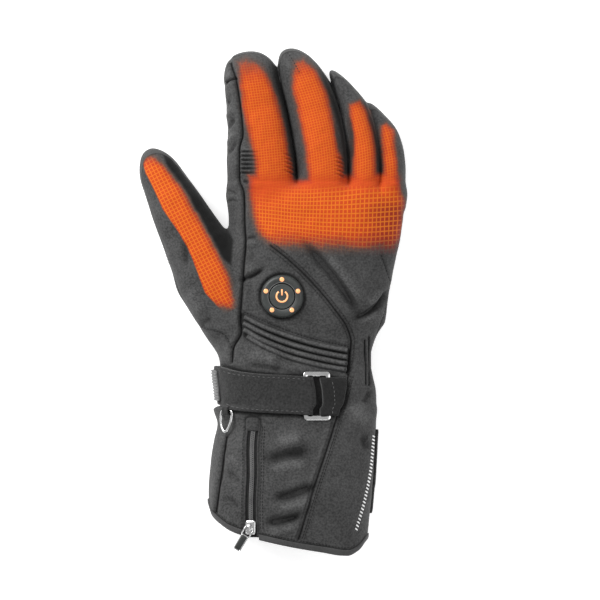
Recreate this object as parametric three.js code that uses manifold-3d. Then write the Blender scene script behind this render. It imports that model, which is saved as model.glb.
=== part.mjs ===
// A heated winter gauntlet glove for the right hand, lying palm down on a table.
// +X points away from the thumb, +Y towards the fingertips, +Z out of the back of the hand.
// All sizes are millimetres. The glove is built round the middle of its wrist seam, and the
// finished group is moved so that the origin is the middle of its footprint on the table.

import * as THREE from "three";
import { mergeVertices } from "three/addons/utils/BufferGeometryUtils.js";
import Module from "manifold-3d";

const wasm = await Module();
wasm.setup();

// Main sizes of the soft shell
const gap = 0.35; // left between pieces that touch
const handLength = 122; // wrist seam to the front of the knuckles
const handWidth = 116;
const handDepth = 47;
const wristWidth = 99;
const cuffLength = 122; // wrist seam to the lowest point of the hem
const cuffWidth = 108;
const cuffDepth = 66;
const padding = 4; // wall of the hand and fingers: shell cloth, filling and lining together
const cuffWall = 3.2;
const sharedWall = 1.6; // left of a finger's wall where its neighbour presses into it
const seamHeight = 18; // height of the side seams over the table
const tableSink = 6; // how far the round of each section is pressed flat by the table

// Fingers and thumb: from the knuckles to the tip, and across at the middle joint
const indexLength = 92;
const indexWidth = 43;
const indexDepth = 35;
const middleLength = 96;
const middleWidth = 36.5;
const middleDepth = 36;
const ringLength = 82;
const ringWidth = 26;
const ringDepth = 33;
const littleLength = 59;
const littleWidth = 21;
const littleDepth = 30;
const thumbLength = 125;
const thumbWidth = 38;
const thumbDepth = 36;

// Gathers
const knuckleRibPitch = 4;
const knuckleRibHeight = 0.9;
const knuckleRibCount = 4;
const knuckleRibStart = 3; // from the finger's root to its first gather
const wristRibRadius = 2.5;
const wristRibRise = 1.5; // how far the wrist gathers stand over the back

// Hem
const bindingLength = 3.8;
const bindingSwell = 0.9; // how much thicker the binding is than the wall, on each side

// Strap and its ring
const strapWidth = 25;
const strapThickness = 3.8; // two layers closed on each other
const anchorThickness = 3.6;
const tabThickness = 1.8;
const tabLength = 20;
const ringInnerWidth = 12.4;
const ringBar = 2.6;
const ringEndBar = 3.1;
const ringThickness = 1.6;
const ringPlay = 0.5;

// Zip in the side of the cuff
const slotWidth = 8.4;
const tapeThickness = 1.2;
const coilWidth = 2.8;
const coilHeight = 1.1; // over the tape
const garageLength = 9.5;
const garageWidth = 9.4;
const garageThickness = 1.7;
const sliderLength = 9;
const sliderWidth = 6.6;
const sliderThickness = 1.5;
const bridgeWidth = 1.6;
const bridgeBar = 0.8;
const bridgeRoom = 3.8; // clear length under the bridge
const pullBarRadius = 0.7;
const pullArmWidth = 0.8;
const pullArmSpread = 4.8; // clear width between the arms
const pullArmLength = 6.6;
const pullTabLength = 11.4;
const pullTabWidth = 5.2;
const pullTabThickness = 1.6;
const pullTurn = 31; // degrees that the pull is turned away from the zip

// Clip ring on its web loop
const clipWidth = 10.5;
const clipLength = 16;
const clipBar = 1.7;
const clipThickness = 1.6;
const loopWidth = 4.6;
const loopWall = 0.8;

// Button
const buttonRadius = 14;
const buttonHeight = 3.8;
const rimCrown = 0.4; // how far the rim's middle stands over its edges
const capRadius = 8.2;
const capThickness = 1.5;
const capTravel = 0.8;
const capClearance = 0.4;
const lightCount = 5;
const lightRadius = 1.5;
const lightHeight = 1.4;
const lightRise = 0.2; // how far a light stands out of the rim

// Flap on the outer side of the cuff
const flapThickness = 1.6;
const flapHeight = 20;
const flapTipHeight = 11;

const black = 0x1b1b1c;
const CLOTH = { color: 0x4a4a4a, roughness: 0.85, metalness: 0 };
const PALM = { color: 0x262626, roughness: 0.7, metalness: 0 };
const WEB = { color: black, roughness: 0.9, metalness: 0 };
const STEEL = { color: 0xb9bbbd, roughness: 0.3, metalness: 0.9 };
const RUBBER = { color: 0x2b2e2d, roughness: 0.55, metalness: 0 };
const GLOW = { color: 0xf39a62, roughness: 0.4, metalness: 0 };

// Sections of the hand, from the wrist seam (0) to the knuckles (1).
// spread goes from the wrist's width (0) to the hand's own (1), lean is the sideways shift as a
// share of the width there, and top and lift are shares of the hand's depth.
const HAND_ROWS = [
  { along: 0.0, spread: 0.0, lean: 0.0, top: 1.06, lift: 0 },
  { along: 0.07, spread: 0.0, lean: 0.0, top: 1.03, lift: 0 },
  { along: 0.14, spread: 0.13, lean: 0.009, top: 1.0, lift: 0 },
  { along: 0.2, spread: 0.3, lean: 0.029, top: 0.99, lift: 0 },
  { along: 0.25, spread: 0.47, lean: 0.049, top: 0.99, lift: 0 },
  { along: 0.37, spread: 0.55, lean: 0.061, top: 1.0, lift: 0 },
  { along: 0.52, spread: 0.63, lean: 0.084, top: 1.0, lift: 0 },
  { along: 0.61, spread: 0.73, lean: 0.096, top: 1.0, lift: 0 },
  { along: 0.69, spread: 0.82, lean: 0.108, top: 0.99, lift: 0 },
  { along: 0.85, spread: 0.92, lean: 0.12, top: 0.94, lift: 0 },
  { along: 0.92, spread: 0.95, lean: 0.122, top: 0.88, lift: 0.01 },
  { along: 0.965, spread: 0.82, lean: 0.122, top: 0.8, lift: 0.05 },
  { along: 1.0, spread: 0.5, lean: 0.122, top: 0.62, lift: 0.2 },
];
const HAND_INSIDE_END = 0.92;

// Sections of the cuff, from the wrist seam (0) to the end of the hem (1). swell goes from the
// wrist's depth (0) to the cuff's own (1).
const CUFF_ROWS = [
  { along: 0.0, spread: 0.0, lean: 0.0, swell: 0.0 },
  { along: 0.06, spread: 0.11, lean: 0.011, swell: 0.05 },
  { along: 0.12, spread: 0.18, lean: 0.024, swell: 0.1 },
  { along: 0.19, spread: 0.16, lean: 0.029, swell: 0.17 },
  { along: 0.22, spread: 0.9, lean: 0.0, swell: 0.24 },
  { along: 0.3, spread: 0.55, lean: 0.008, swell: 0.4 },
  { along: 0.39, spread: 0.73, lean: -0.006, swell: 0.58 },
  { along: 0.49, spread: 0.88, lean: -0.018, swell: 0.74 },
  { along: 0.6, spread: 0.93, lean: -0.027, swell: 0.88 },
  { along: 0.71, spread: 0.82, lean: -0.034, swell: 0.95 },
  { along: 0.82, spread: 0.55, lean: -0.036, swell: 0.98 },
  { along: 0.92, spread: 0.23, lean: -0.036, swell: 1.0 },
  { along: 1.0, spread: 0.07, lean: -0.036, swell: 1.0 },
];

// The hem seen from above: across runs from the thumb's side (-1) to the outer side (1).
const HEM_ROWS = [
  { across: -1.2, along: 0.68 },
  { across: -1.0, along: 0.73 },
  { across: -0.96, along: 0.79 },
  { across: -0.87, along: 0.83 },
  { across: -0.74, along: 0.868 },
  { across: -0.43, along: 0.909 },
  { across: 0.09, along: 0.957 },
  { across: 0.46, along: 0.982 },
  { across: 0.75, along: 1.0 },
  { across: 0.89, along: 0.973 },
  { across: 0.99, along: 0.92 },
  { across: 1.2, along: 0.86 },
];

// Width and height of each finger as shares of its own, from the knuckles (0) to the tip (1).
const INDEX_ROWS = [
  { along: -0.16, width: 0.95, top: 1.0 },
  { along: 0.0, width: 1.09, top: 1.1 },
  { along: 0.22, width: 1.08, top: 1.05 },
  { along: 0.43, width: 0.97, top: 0.97 },
  { along: 0.66, width: 0.9, top: 0.86 },
  { along: 0.83, width: 0.84, top: 0.8 },
  { along: 1.0, width: 0.78, top: 0.74 },
];
const MIDDLE_ROWS = [
  { along: -0.16, width: 0.9, top: 1.0 },
  { along: 0.0, width: 1.0, top: 1.08 },
  { along: 0.25, width: 1.0, top: 1.04 },
  { along: 0.4, width: 0.98, top: 0.98 },
  { along: 0.55, width: 0.93, top: 0.91 },
  { along: 0.7, width: 0.87, top: 0.84 },
  { along: 0.85, width: 0.79, top: 0.78 },
  { along: 1.0, width: 0.72, top: 0.72 },
];
const RING_ROWS = [
  { along: -0.16, width: 0.95, top: 1.0 },
  { along: 0.0, width: 1.0, top: 1.08 },
  { along: 0.3, width: 1.0, top: 1.02 },
  { along: 0.54, width: 0.87, top: 0.92 },
  { along: 0.64, width: 0.76, top: 0.86 },
  { along: 0.81, width: 0.55, top: 0.76 },
  { along: 1.0, width: 0.42, top: 0.66 },
];
const LITTLE_ROWS = [
  { along: -0.2, width: 0.6, top: 1.0 },
  { along: 0.0, width: 1.0, top: 1.1 },
  { along: 0.4, width: 1.0, top: 1.0 },
  { along: 0.58, width: 0.94, top: 0.92 },
  { along: 0.69, width: 0.84, top: 0.86 },
  { along: 0.83, width: 0.63, top: 0.8 },
  { along: 1.0, width: 0.42, top: 0.74 },
];
const THUMB_ROWS = [
  { along: -0.22, width: 0.78, top: 0.8 },
  { along: -0.12, width: 1.12, top: 1.0 },
  { along: 0.0, width: 1.24, top: 1.15 },
  { along: 0.15, width: 1.3, top: 1.15 },
  { along: 0.25, width: 1.34, top: 1.12 },
  { along: 0.38, width: 1.18, top: 1.04 },
  { along: 0.54, width: 1.03, top: 0.95 },
  { along: 0.68, width: 0.91, top: 0.86 },
  { along: 0.78, width: 0.8, top: 0.77 },
  { along: 0.9, width: 0.68, top: 0.67 },
  { along: 1.0, width: 0.55, top: 0.6 },
];

// Where each finger leaves the knuckles. across is on the hand's own width, lean is its tilt
// towards the thumb in degrees, bow is its sideways curve and tipRound the length of its
// rounded end, both as shares of its length.
const FINGERS = [
  { name: "index_finger", across: -0.617, lean: 7, length: indexLength, width: indexWidth,
    depth: indexDepth, bow: 0.024, tipRound: 0.2, ribbed: true, rows: INDEX_ROWS },
  { name: "middle_finger", across: 0.073, lean: 14, length: middleLength, width: middleWidth,
    depth: middleDepth, bow: 0.07, tipRound: 0.3, ribbed: true, rows: MIDDLE_ROWS },
  { name: "ring_finger", across: 0.544, lean: 15.2, length: ringLength, width: ringWidth,
    depth: ringDepth, bow: 0.106, tipRound: 0.36, ribbed: false, rows: RING_ROWS },
  { name: "little_finger", across: 0.846, lean: 13.3, length: littleLength, width: littleWidth,
    depth: littleDepth, bow: 0.08, tipRound: 0.42, ribbed: false, rows: LITTLE_ROWS },
];
const FINGER_ROOT = 0.957; // share of the hand's length at which the fingers start
const THUMB = { name: "thumb", across: -0.83, along: 0.27, lean: 27.8, length: thumbLength,
  width: thumbWidth, depth: thumbDepth, bow: -0.006, tipRound: 0.17, ribbed: false, rows: THUMB_ROWS };

// Broad dents of the back, as lines between two places. Depth and width are millimetres.
const HAND_DENTS = [
  { across: 0.0, along: 0.64, toAcross: 0.6, toAlong: 0.3, depth: 1.8, width: 3.2 },
  { across: 0.6, along: 0.3, toAcross: 0.88, toAlong: 0.37, depth: 1.4, width: 3.2 },
  { across: 0.9, along: 0.17, toAcross: 0.93, toAlong: 0.02, depth: 2.0, width: 3.0 },
  { across: -0.62, along: 0.07, toAcross: 0.3, toAlong: 0.03, depth: 1.6, width: 4.0 },
];
const CUFF_DENTS = [
  { across: -0.3, along: 0.72, toAcross: 0.28, toAlong: 0.65, depth: 2.6, width: 4.2 },
  { across: -0.26, along: 0.81, toAcross: 0.16, toAlong: 0.78, depth: 1.6, width: 3.6 },
  { across: -0.3, along: 0.43, toAcross: 0.42, toAlong: 0.38, depth: 1.4, width: 5.0 },
  { across: -0.28, along: 0.58, toAcross: 0.32, toAlong: 0.5, depth: 1.5, width: 4.6 },
  { across: 0.9, along: 0.0, toAcross: 0.88, toAlong: 0.13, depth: 2.0, width: 3.0 },
];

// Centre lines of the four gathers over the wrist, on the hand.
const WRIST_RIBS = [
  { startAlong: 0.282, middleAlong: 0.172, endAlong: 0.086 },
  { startAlong: 0.247, middleAlong: 0.129, endAlong: 0.048 },
  { startAlong: 0.215, middleAlong: 0.089, endAlong: 0.016 },
  { startAlong: 0.183, middleAlong: 0.057, endAlong: -0.012 },
];
const RIB_START_ACROSS = -0.745;
const RIB_MIDDLE_ACROSS = -0.17;
const RIB_END_ACROSS = 0.6;

// Centre lines on the cuff
const STRAP_ROWS = [
  { across: -1.25, along: 0.078 },
  { across: -0.86, along: 0.088 },
  { across: -0.49, along: 0.138 },
  { across: 0.08, along: 0.15 },
  { across: 0.3, along: 0.15 },
  { across: 0.66, along: 0.148 },
];
const STRAP_FOLD_ACROSS = 0.205; // where the strap turns back through the ring
const ANCHOR_START_ACROSS = 0.3;
const ANCHOR_TOP_END_ACROSS = 0.61;
const ANCHOR_LOW_END_ACROSS = 0.49;
const RING_ACROSS = 0.22;
const RING_ALONG = 0.15;
const TAB_ACROSS = -0.95; // how far the grip of the strap's end reaches on to the back
const ZIP_ROWS = [
  { across: -0.555, along: 0.27 },
  { across: -0.522, along: 0.39 },
  { across: -0.475, along: 0.6 },
  { across: -0.485, along: 0.87 },
  { across: -0.5, along: 1.05 },
];
const ZIP_START_ALONG = 0.3;
const GARAGE_ALONG = 0.297;
const SLIDER_ALONG = 0.845;
const CLIP_ACROSS = -0.815;
const CLIP_ALONG = 0.235;
const BUTTON_ACROSS = -0.285;
const BUTTON_ALONG = 0.385;
const FLAP_START_ACROSS = 0.8;
const FLAP_START_ALONG = 0.33;
const FLAP_STEP_ALONG = 0.63;
const FLAP_END_ALONG = 0.78;

// Shape of every section of the hand and cuff
const BODY_SIDES = sectionAngles(18, [16, 32, 48, 75]);
const BODY_INSIDES = sectionAngles(14, [24, 46]);
const STALL_SIDES = sectionAngles(9, [24, 46, 75]);
const STALL_INSIDES = sectionAngles(7, [46]);
const bodySquareness = 2.5;
const bodyTilt = 0.07; // how much higher the thumb's side of the back is
const beltHeight = 0.42; // height of the widest line, as a share of the top
const fingerSquareness = 2.3;
const tipSquareness = 2.3;

const lerp = THREE.MathUtils.lerp;

// Value of a column at a place along a table, between its rows.
function read(rows, column, along, key = "along") {
  const last = rows.length - 1;
  if (along <= rows[0][key]) return rows[0][column];
  if (along >= rows[last][key]) return rows[last][column];
  const i = rows.findIndex((row) => row[key] > along) - 1;
  const share = (along - rows[i][key]) / (rows[i + 1][key] - rows[i][key]);
  return lerp(rows[i][column], rows[i + 1][column], share);
}

// Angles round a section: even steps over the top, and a chosen few on each side below.
function sectionAngles(topSteps, below) {
  const over = Array.from({ length: topSteps + 1 }, (_, i) => (180 * i) / topSteps);
  const under = [...below.map((angle) => 180 + angle), ...below.map((angle) => 360 - angle).reverse()];
  return [...over, ...under].map(THREE.MathUtils.degToRad);
}

// A signed power, which squares off a sine or cosine.
function squared(value, squareness) {
  return Math.sign(value) * Math.pow(Math.abs(value), 2 / squareness);
}

// Solids

function solidFrom(geometry) {
  const bare = geometry.clone();
  bare.deleteAttribute("normal");
  bare.deleteAttribute("uv");
  const merged = mergeVertices(bare, 1e-4);
  const triVerts = new Uint32Array(merged.index.array);
  const vertProperties = new Float32Array(merged.attributes.position.array);
  const solid = new wasm.Manifold(new wasm.Mesh({ numProp: 3, vertProperties, triVerts }));
  if (solid.volume() > 0) return solid;
  for (let i = 0; i < triVerts.length; i += 3) {
    [triVerts[i + 1], triVerts[i + 2]] = [triVerts[i + 2], triVerts[i + 1]];
  }
  return new wasm.Manifold(new wasm.Mesh({ numProp: 3, vertProperties, triVerts }));
}

// The largest body of a solid, without the slivers that a cut can leave.
function largest(solid) {
  const bodies = solid.decompose();
  return bodies.reduce((best, body) => (body.volume() > best.volume() ? body : best));
}

function join(solids) {
  return solids.reduce((sum, solid) => sum.add(solid));
}

// A closed solid through rings of points, each end closed by a fan round its middle.
function loft(rings, tipPoint = null) {
  const sides = rings[0].length;
  const positions = rings.flat().flatMap((p) => [p.x, p.y, p.z]);
  const index = [];
  for (let r = 0; r + 1 < rings.length; r++) {
    for (let i = 0; i < sides; i++) {
      const a = r * sides + i;
      const b = r * sides + ((i + 1) % sides);
      index.push(a, b, b + sides, a, b + sides, a + sides);
    }
  }
  const middleOf = (ring) =>
    ring.reduce((sum, p) => sum.add(p), new THREE.Vector3()).divideScalar(sides);
  const ends = [
    { ring: 0, middle: middleOf(rings[0]), flip: true },
    { ring: rings.length - 1, middle: tipPoint ?? middleOf(rings.at(-1)), flip: false },
  ];
  for (const { ring, middle, flip } of ends) {
    const centre = positions.length / 3;
    positions.push(middle.x, middle.y, middle.z);
    for (let i = 0; i < sides; i++) {
      const a = ring * sides + i;
      const b = ring * sides + ((i + 1) % sides);
      index.push(...(flip ? [b, a, centre] : [a, b, centre]));
    }
  }
  const geometry = new THREE.BufferGeometry();
  geometry.setAttribute("position", new THREE.Float32BufferAttribute(positions, 3));
  geometry.setIndex(index);
  return solidFrom(geometry);
}

// A prism that stands on an outline of [x, y] points.
function prism(outline, low, high) {
  const shape = new THREE.Shape(outline.map(([x, y]) => new THREE.Vector2(x, y)));
  const geometry = new THREE.ExtrudeGeometry(shape, { depth: high - low, bevelEnabled: false });
  geometry.translate(0, 0, low);
  return solidFrom(geometry);
}

// The outline of a ribbon of some width along a line of [x, y] points.
function ribbon(line, width) {
  const side = (sign) =>
    line.map(([x, y], i) => {
      const [x0, y0] = line[Math.max(i - 1, 0)];
      const [x1, y1] = line[Math.min(i + 1, line.length - 1)];
      const length = Math.hypot(x1 - x0, y1 - y0);
      const reach = (sign * width) / 2 / length;
      return [x - (y1 - y0) * reach, y + (x1 - x0) * reach];
    });
  return [...side(1), ...side(-1).reverse()];
}

// A flat plate with an outline and holes in its own frame, from low to high.
function plate(outline, holes, low, high) {
  const shape = new THREE.Shape(outline.map(([x, y]) => new THREE.Vector2(x, y)));
  shape.holes = holes.map((hole) => new THREE.Path(hole.map(([x, y]) => new THREE.Vector2(x, y))));
  const geometry = new THREE.ExtrudeGeometry(shape, { depth: high - low, bevelEnabled: false });
  geometry.translate(0, 0, low);
  return geometry;
}

function block(x0, x1, y0, y1, z0, z1) {
  const geometry = new THREE.BoxGeometry(x1 - x0, y1 - y0, z1 - z0);
  geometry.translate((x0 + x1) / 2, (y0 + y1) / 2, (z0 + z1) / 2);
  return geometry;
}

function rectangle(halfWidth, halfLength, corner) {
  const points = [];
  const corners = [[1, 1, 0], [-1, 1, 90], [-1, -1, 180], [1, -1, 270]];
  for (const [sx, sy, start] of corners) {
    for (const turn of [0, 45, 90]) {
      const angle = THREE.MathUtils.degToRad(start + turn);
      points.push([
        sx * (halfWidth - corner) + corner * Math.cos(angle),
        sy * (halfLength - corner) + corner * Math.sin(angle),
      ]);
    }
  }
  return points;
}

// Soft surfaces

// The hand and the cuff: sections across the glove, flat where the table presses them.
class Body {
  constructor({ rows, length, towards, width, topAt, liftAt, dents, wall }) {
    Object.assign(this, { rows, length, towards, width, topAt, liftAt, wall });
    this.dents = dents.map((dent) => ({
      from: this.place(dent.across, dent.along),
      to: this.place(dent.toAcross, dent.toAlong),
      depth: dent.depth,
      width: dent.width,
    }));
  }

  section(along) {
    const width = lerp(wristWidth, this.width, read(this.rows, "spread", along));
    return {
      y: this.towards * along * this.length,
      centre: read(this.rows, "lean", along) * width,
      half: width / 2,
      top: this.topAt(along),
      lift: this.liftAt(along),
    };
  }

  // The place [x, y] at a share across and a share along.
  place(across, along) {
    const s = this.section(along);
    return [s.centre + across * s.half, s.y];
  }

  dentAt(x, y) {
    return this.dents.reduce((sum, { from, to, depth, width }) => {
      const [dx, dy] = [to[0] - from[0], to[1] - from[1]];
      const share = ((x - from[0]) * dx + (y - from[1]) * dy) / (dx * dx + dy * dy);
      const t = THREE.MathUtils.clamp(share, 0, 1);
      const away = Math.hypot(x - from[0] - t * dx, y - from[1] - t * dy);
      return sum + depth * Math.exp(-((away / width) ** 2));
    }, 0);
  }

  // The point at an angle round a section, moved out by grow. An angle of 0 is the outer side.
  point(along, angle, grow, floor) {
    const s = this.section(along);
    const across = squared(Math.cos(angle), bodySquareness);
    const rise = squared(Math.sin(angle), bodySquareness);
    const belt = lerp(s.lift, s.top, beltHeight);
    const reach = rise > 0 ? (s.top - belt) * (1 - bodyTilt * across) : belt - s.lift + tableSink;
    const x = s.centre + across * (s.half + grow);
    const dent = this.dentAt(x, s.y) * Math.max(rise, 0);
    const z = belt + rise * (reach + grow) - dent;
    return new THREE.Vector3(x, s.y, Math.max(z, floor + s.lift));
  }

  ring(along, grow, floor, angles) {
    return angles.map((angle) => this.point(along, angle, grow, floor));
  }

  // The outside, moved out by grow, between two shares of the length.
  outside(grow, { from = 0, to = 1, floor = Math.max(0, -grow) } = {}) {
    const stations = this.rows.map((row) => row.along).filter((a) => a > from && a < to);
    const rings = [from, ...stations, to].map((a) => this.ring(a, grow, floor, BODY_SIDES));
    return loft(rings);
  }

  // The hollow, from past the wrist seam to a share of the length. past is its overrun there.
  inside(to, past, wall = this.wall) {
    const stations = this.rows.map((row) => row.along).filter((a) => a > 0 && a < to);
    const ringAt = (a) => this.ring(a, -wall, wall, BODY_INSIDES);
    const start = ringAt(0).map((p) => p.setY(p.y - this.towards * past));
    return loft([start, ...[0, ...stations, to].map(ringAt)]);
  }

  // A layer that follows the back between two heights over it, inside an outline of [x, y].
  layer(outline, low, high, options = {}) {
    const skin = this.outside(high, options).subtract(this.outside(low, options));
    return skin.intersect(prism(outline, seamHeight + gap, 3 * cuffDepth));
  }

  // The angle round the section at a share across the back.
  angleAt(across) {
    const cosine = squared(across, 4 / bodySquareness);
    return Math.acos(THREE.MathUtils.clamp(cosine, -1, 1));
  }

  surfacePoint(across, along, grow = 0) {
    return this.point(along, this.angleAt(across), grow, 0);
  }

  // A frame on the back: +Z out of the cloth, and +Y along the glove towards the fingers.
  // reach is the share of the length on each side that its slope is taken over.
  frameAt(across, along, reach = 0.02) {
    const step = 0.02;
    const ahead = this.surfacePoint(across, along + this.towards * reach);
    const behind = this.surfacePoint(across, along - this.towards * reach);
    const left = this.surfacePoint(across - step, along);
    const right = this.surfacePoint(across + step, along);
    const out = right.sub(left).cross(ahead.sub(behind)).normalize();
    const side = new THREE.Vector3(0, 1, 0).cross(out).normalize();
    const forward = out.clone().cross(side);
    const matrix = new THREE.Matrix4().makeBasis(side, forward, out);
    return matrix.setPosition(this.surfacePoint(across, along));
  }
}

// A finger or the thumb: sections square to a centre line that lies level.
class Stall {
  constructor(facts, root) {
    Object.assign(this, facts);
    this.root = root;
    const lean = THREE.MathUtils.degToRad(this.lean);
    this.forward = new THREE.Vector3(-Math.sin(lean), Math.cos(lean), 0);
    this.side = new THREE.Vector3(Math.cos(lean), Math.sin(lean), 0);
    this.roundStart = 1 - this.tipRound;
  }

  centre(along) {
    const bow = this.bow * this.length * 4 * along * (1 - along);
    return new THREE.Vector3(this.root[0], this.root[1], 0)
      .addScaledVector(this.forward, along * this.length)
      .addScaledVector(this.side, along > 0 ? bow : 0);
  }

  // Sections up to the rounded end, with one at each crest and valley of the gathers.
  stations(ribbed) {
    const plain = this.rows.map((row) => row.along).filter((a) => a < this.roundStart);
    const ribs = [];
    if (ribbed) {
      for (let i = 0; i <= 2 * knuckleRibCount; i++) {
        ribs.push({ along: (knuckleRibStart + (i * knuckleRibPitch) / 2) / this.length, crest: i % 2 });
      }
    }
    const first = ribs.length ? ribs[0].along : 2;
    const last = ribs.length ? ribs.at(-1).along : 2;
    return [
      ...plain.filter((a) => a < first || a > last).map((along) => ({ along, crest: 0 })),
      ...ribs,
      { along: this.roundStart, crest: 0 },
    ].sort((a, b) => a.along - b.along);
  }

  ring({ along, crest }, size, grow, floor, angles) {
    const half = (read(this.rows, "width", along) * this.width) / 2;
    const top = read(this.rows, "top", along) * this.depth;
    const belt = top * beltHeight;
    return angles.map((angle) => {
      const across = squared(Math.cos(angle), fingerSquareness);
      const rise = squared(Math.sin(angle), fingerSquareness);
      const reach = rise > 0 ? top - belt + crest * knuckleRibHeight : belt + tableSink;
      const z = belt + size * rise * (reach + grow);
      return this.centre(along)
        .addScaledVector(this.side, size * across * (half + grow))
        .setZ(Math.max(z, floor));
    });
  }

  solid(grow, { floor = Math.max(0, -grow), angles = STALL_SIDES, ribbed = false } = {}) {
    const roundLength = this.tipRound * this.length + grow;
    const rings = this.stations(ribbed).map((s) => this.ring(s, 1, grow, floor, angles));
    for (const share of [0.4, 0.7, 0.92]) {
      const along = this.roundStart + (share * roundLength) / this.length;
      const size = Math.pow(1 - Math.pow(share, tipSquareness), 1 / tipSquareness);
      rings.push(this.ring({ along, crest: 0 }, size, grow, floor, angles));
    }
    const tip = this.centre(this.roundStart + roundLength / this.length);
    tip.setZ(Math.max(read(this.rows, "top", 1) * this.depth * beltHeight, floor));
    return loft(rings, tip);
  }
}

const hand = new Body({
  rows: HAND_ROWS,
  length: handLength,
  towards: 1,
  width: handWidth,
  topAt: (along) => read(HAND_ROWS, "top", along) * handDepth,
  liftAt: (along) => read(HAND_ROWS, "lift", along) * handDepth,
  dents: HAND_DENTS,
  wall: padding,
});
const wristDepth = hand.topAt(0);
const cuff = new Body({
  rows: CUFF_ROWS,
  length: cuffLength,
  towards: -1,
  width: cuffWidth,
  topAt: (along) => lerp(wristDepth, cuffDepth, read(CUFF_ROWS, "swell", along)),
  liftAt: () => 0,
  dents: CUFF_DENTS,
  wall: cuffWall,
});
const fingers = FINGERS.map((f) => new Stall(f, hand.place(f.across, FINGER_ROOT)));
const thumb = new Stall(THUMB, hand.place(THUMB.across, THUMB.along));

// Pieces

const group = new THREE.Group();

function add(name, solid, finish) {
  const mesh = solid.getMesh();
  const geometry = new THREE.BufferGeometry();
  const positions = new Float32Array(mesh.numVert * 3);
  for (let i = 0; i < mesh.numVert; i++) {
    const at = i * mesh.numProp;
    positions.set(mesh.vertProperties.subarray(at, at + 3), i * 3);
  }
  geometry.setAttribute("position", new THREE.BufferAttribute(positions, 3));
  geometry.setIndex(new THREE.BufferAttribute(mesh.triVerts, 1));
  const made = new THREE.Mesh(geometry, new THREE.MeshStandardMaterial(finish));
  made.name = name;
  group.add(made);
  return made;
}

function placed(geometry, matrix) {
  return solidFrom(geometry.clone().applyMatrix4(matrix));
}

const past = 3; // how far a cutting solid runs past what it cuts
const underTable = -past;

// Finger stalls and thumb: each is trimmed by the hand and by the neighbour that lies over it.
const handCutter = hand.outside(gap, { floor: underTable });
const cuffCutter = cuff.outside(gap, { floor: underTable });
const stallHollow = (stall) => stall.solid(-padding, { floor: padding, angles: STALL_INSIDES });

const hollows = [];
fingers.forEach((finger, i) => {
  let outer = finger.solid(0, { ribbed: finger.ribbed }).subtract(handCutter);
  let hollow = stallHollow(finger);
  if (i > 0) {
    const neighbour = fingers[i - 1];
    const cutter = neighbour.solid(gap, { floor: underTable, ribbed: neighbour.ribbed });
    outer = outer.subtract(cutter);
    hollow = hollow.subtract(neighbour.solid(gap + sharedWall, { floor: underTable }));
  }
  hollow = largest(hollow);
  hollows.push(hollow);
  add(finger.name, largest(outer.subtract(hollow)), CLOTH);
});
const thumbHollow = stallHollow(thumb);
const index = fingers[0];
add(
  "thumb",
  largest(
    thumb
      .solid(0)
      .subtract(handCutter)
      .subtract(cuffCutter)
      .subtract(index.solid(gap, { floor: underTable }))
      .subtract(thumbHollow),
  ),
  CLOTH,
);

// Hand: the back and the palm meet in a seam round the side.
const handShell = hand
  .outside(0, { from: gap / 2 / handLength })
  .subtract(hand.inside(HAND_INSIDE_END, past))
  .subtract(thumbHollow)
  .subtract(join(hollows));
const wide = 2 * (handWidth + cuffWidth);
const long = 2 * (handLength + cuffLength + middleLength);
const tall = 2 * cuffDepth;
const above = solidFrom(block(-wide, wide, -long, long, seamHeight + gap / 2, tall));
const below = solidFrom(block(-wide, wide, -long, long, underTable, seamHeight - gap / 2));

// The gathers over the wrist: round ridges sunk into the back.
function wristRib({ startAlong, middleAlong, endAlong }) {
  const sunk = wristRibRise - wristRibRadius;
  const points = [];
  for (let i = 0; i <= 12; i++) {
    const t = i / 12;
    const across = lerp(RIB_START_ACROSS, RIB_END_ACROSS, t);
    const middle = (RIB_MIDDLE_ACROSS - RIB_START_ACROSS) / (RIB_END_ACROSS - RIB_START_ACROSS);
    const bend =
      (middleAlong - lerp(startAlong, endAlong, middle)) / (middle * (1 - middle));
    const along = lerp(startAlong, endAlong, t) + bend * t * (1 - t);
    points.push(hand.surfacePoint(across, Math.max(along, 0), sunk));
  }
  const kept = points.filter((p, i) => i === 0 || p.distanceTo(points[i - 1]) > 1);
  const section = new THREE.Shape();
  section.absarc(0, 0, wristRibRadius, 0, 2 * Math.PI);
  const path = new THREE.CatmullRomCurve3(kept);
  const geometry = new THREE.ExtrudeGeometry(section, {
    steps: 10,
    curveSegments: 3,
    extrudePath: path,
  });
  return solidFrom(geometry);
}
const seamLine = solidFrom(block(-wide, wide, gap / 2, long, underTable, tall));
const ribs = join(WRIST_RIBS.map(wristRib))
  .intersect(seamLine)
  .subtract(hand.inside(HAND_INSIDE_END, past));
add("hand_back", largest(handShell.intersect(above).add(ribs)), CLOTH);
add("palm", largest(handShell.intersect(below)), PALM);

// Cuff: cut to the hem's curve, with a slot for the zip in its back.
const hemAt = (across, shift) => {
  const along = read(HEM_ROWS, "along", across, "across");
  const [x, y] = cuff.place(across, along);
  return [x, y + shift];
};
const hemLine = (shift) => HEM_ROWS.map((row) => hemAt(row.across, shift));
function hemZone(low, high) {
  return [...hemLine(low), ...hemLine(high).reverse()];
}
const cuffEnd = 1 + past / cuffLength;
const cuffZone = prism(hemZone(bindingLength + gap, cuffLength + past), underTable, tall);
const zipLine = (from, to) => {
  const stations = [from, ...ZIP_ROWS.map((r) => r.along).filter((a) => a > from && a < to), to];
  return stations.map((along) => cuff.place(read(ZIP_ROWS, "across", along), along));
};
const slot = prism(ribbon(zipLine(ZIP_START_ALONG, cuffEnd), slotWidth), seamHeight, tall);
const cuffShell = cuff
  .outside(0, { from: gap / 2 / cuffLength, to: cuffEnd })
  .subtract(cuff.inside(cuffEnd + past / cuffLength, past))
  .intersect(cuffZone);
add("cuff_back", largest(cuffShell.intersect(above).subtract(slot)), CLOTH);
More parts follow.
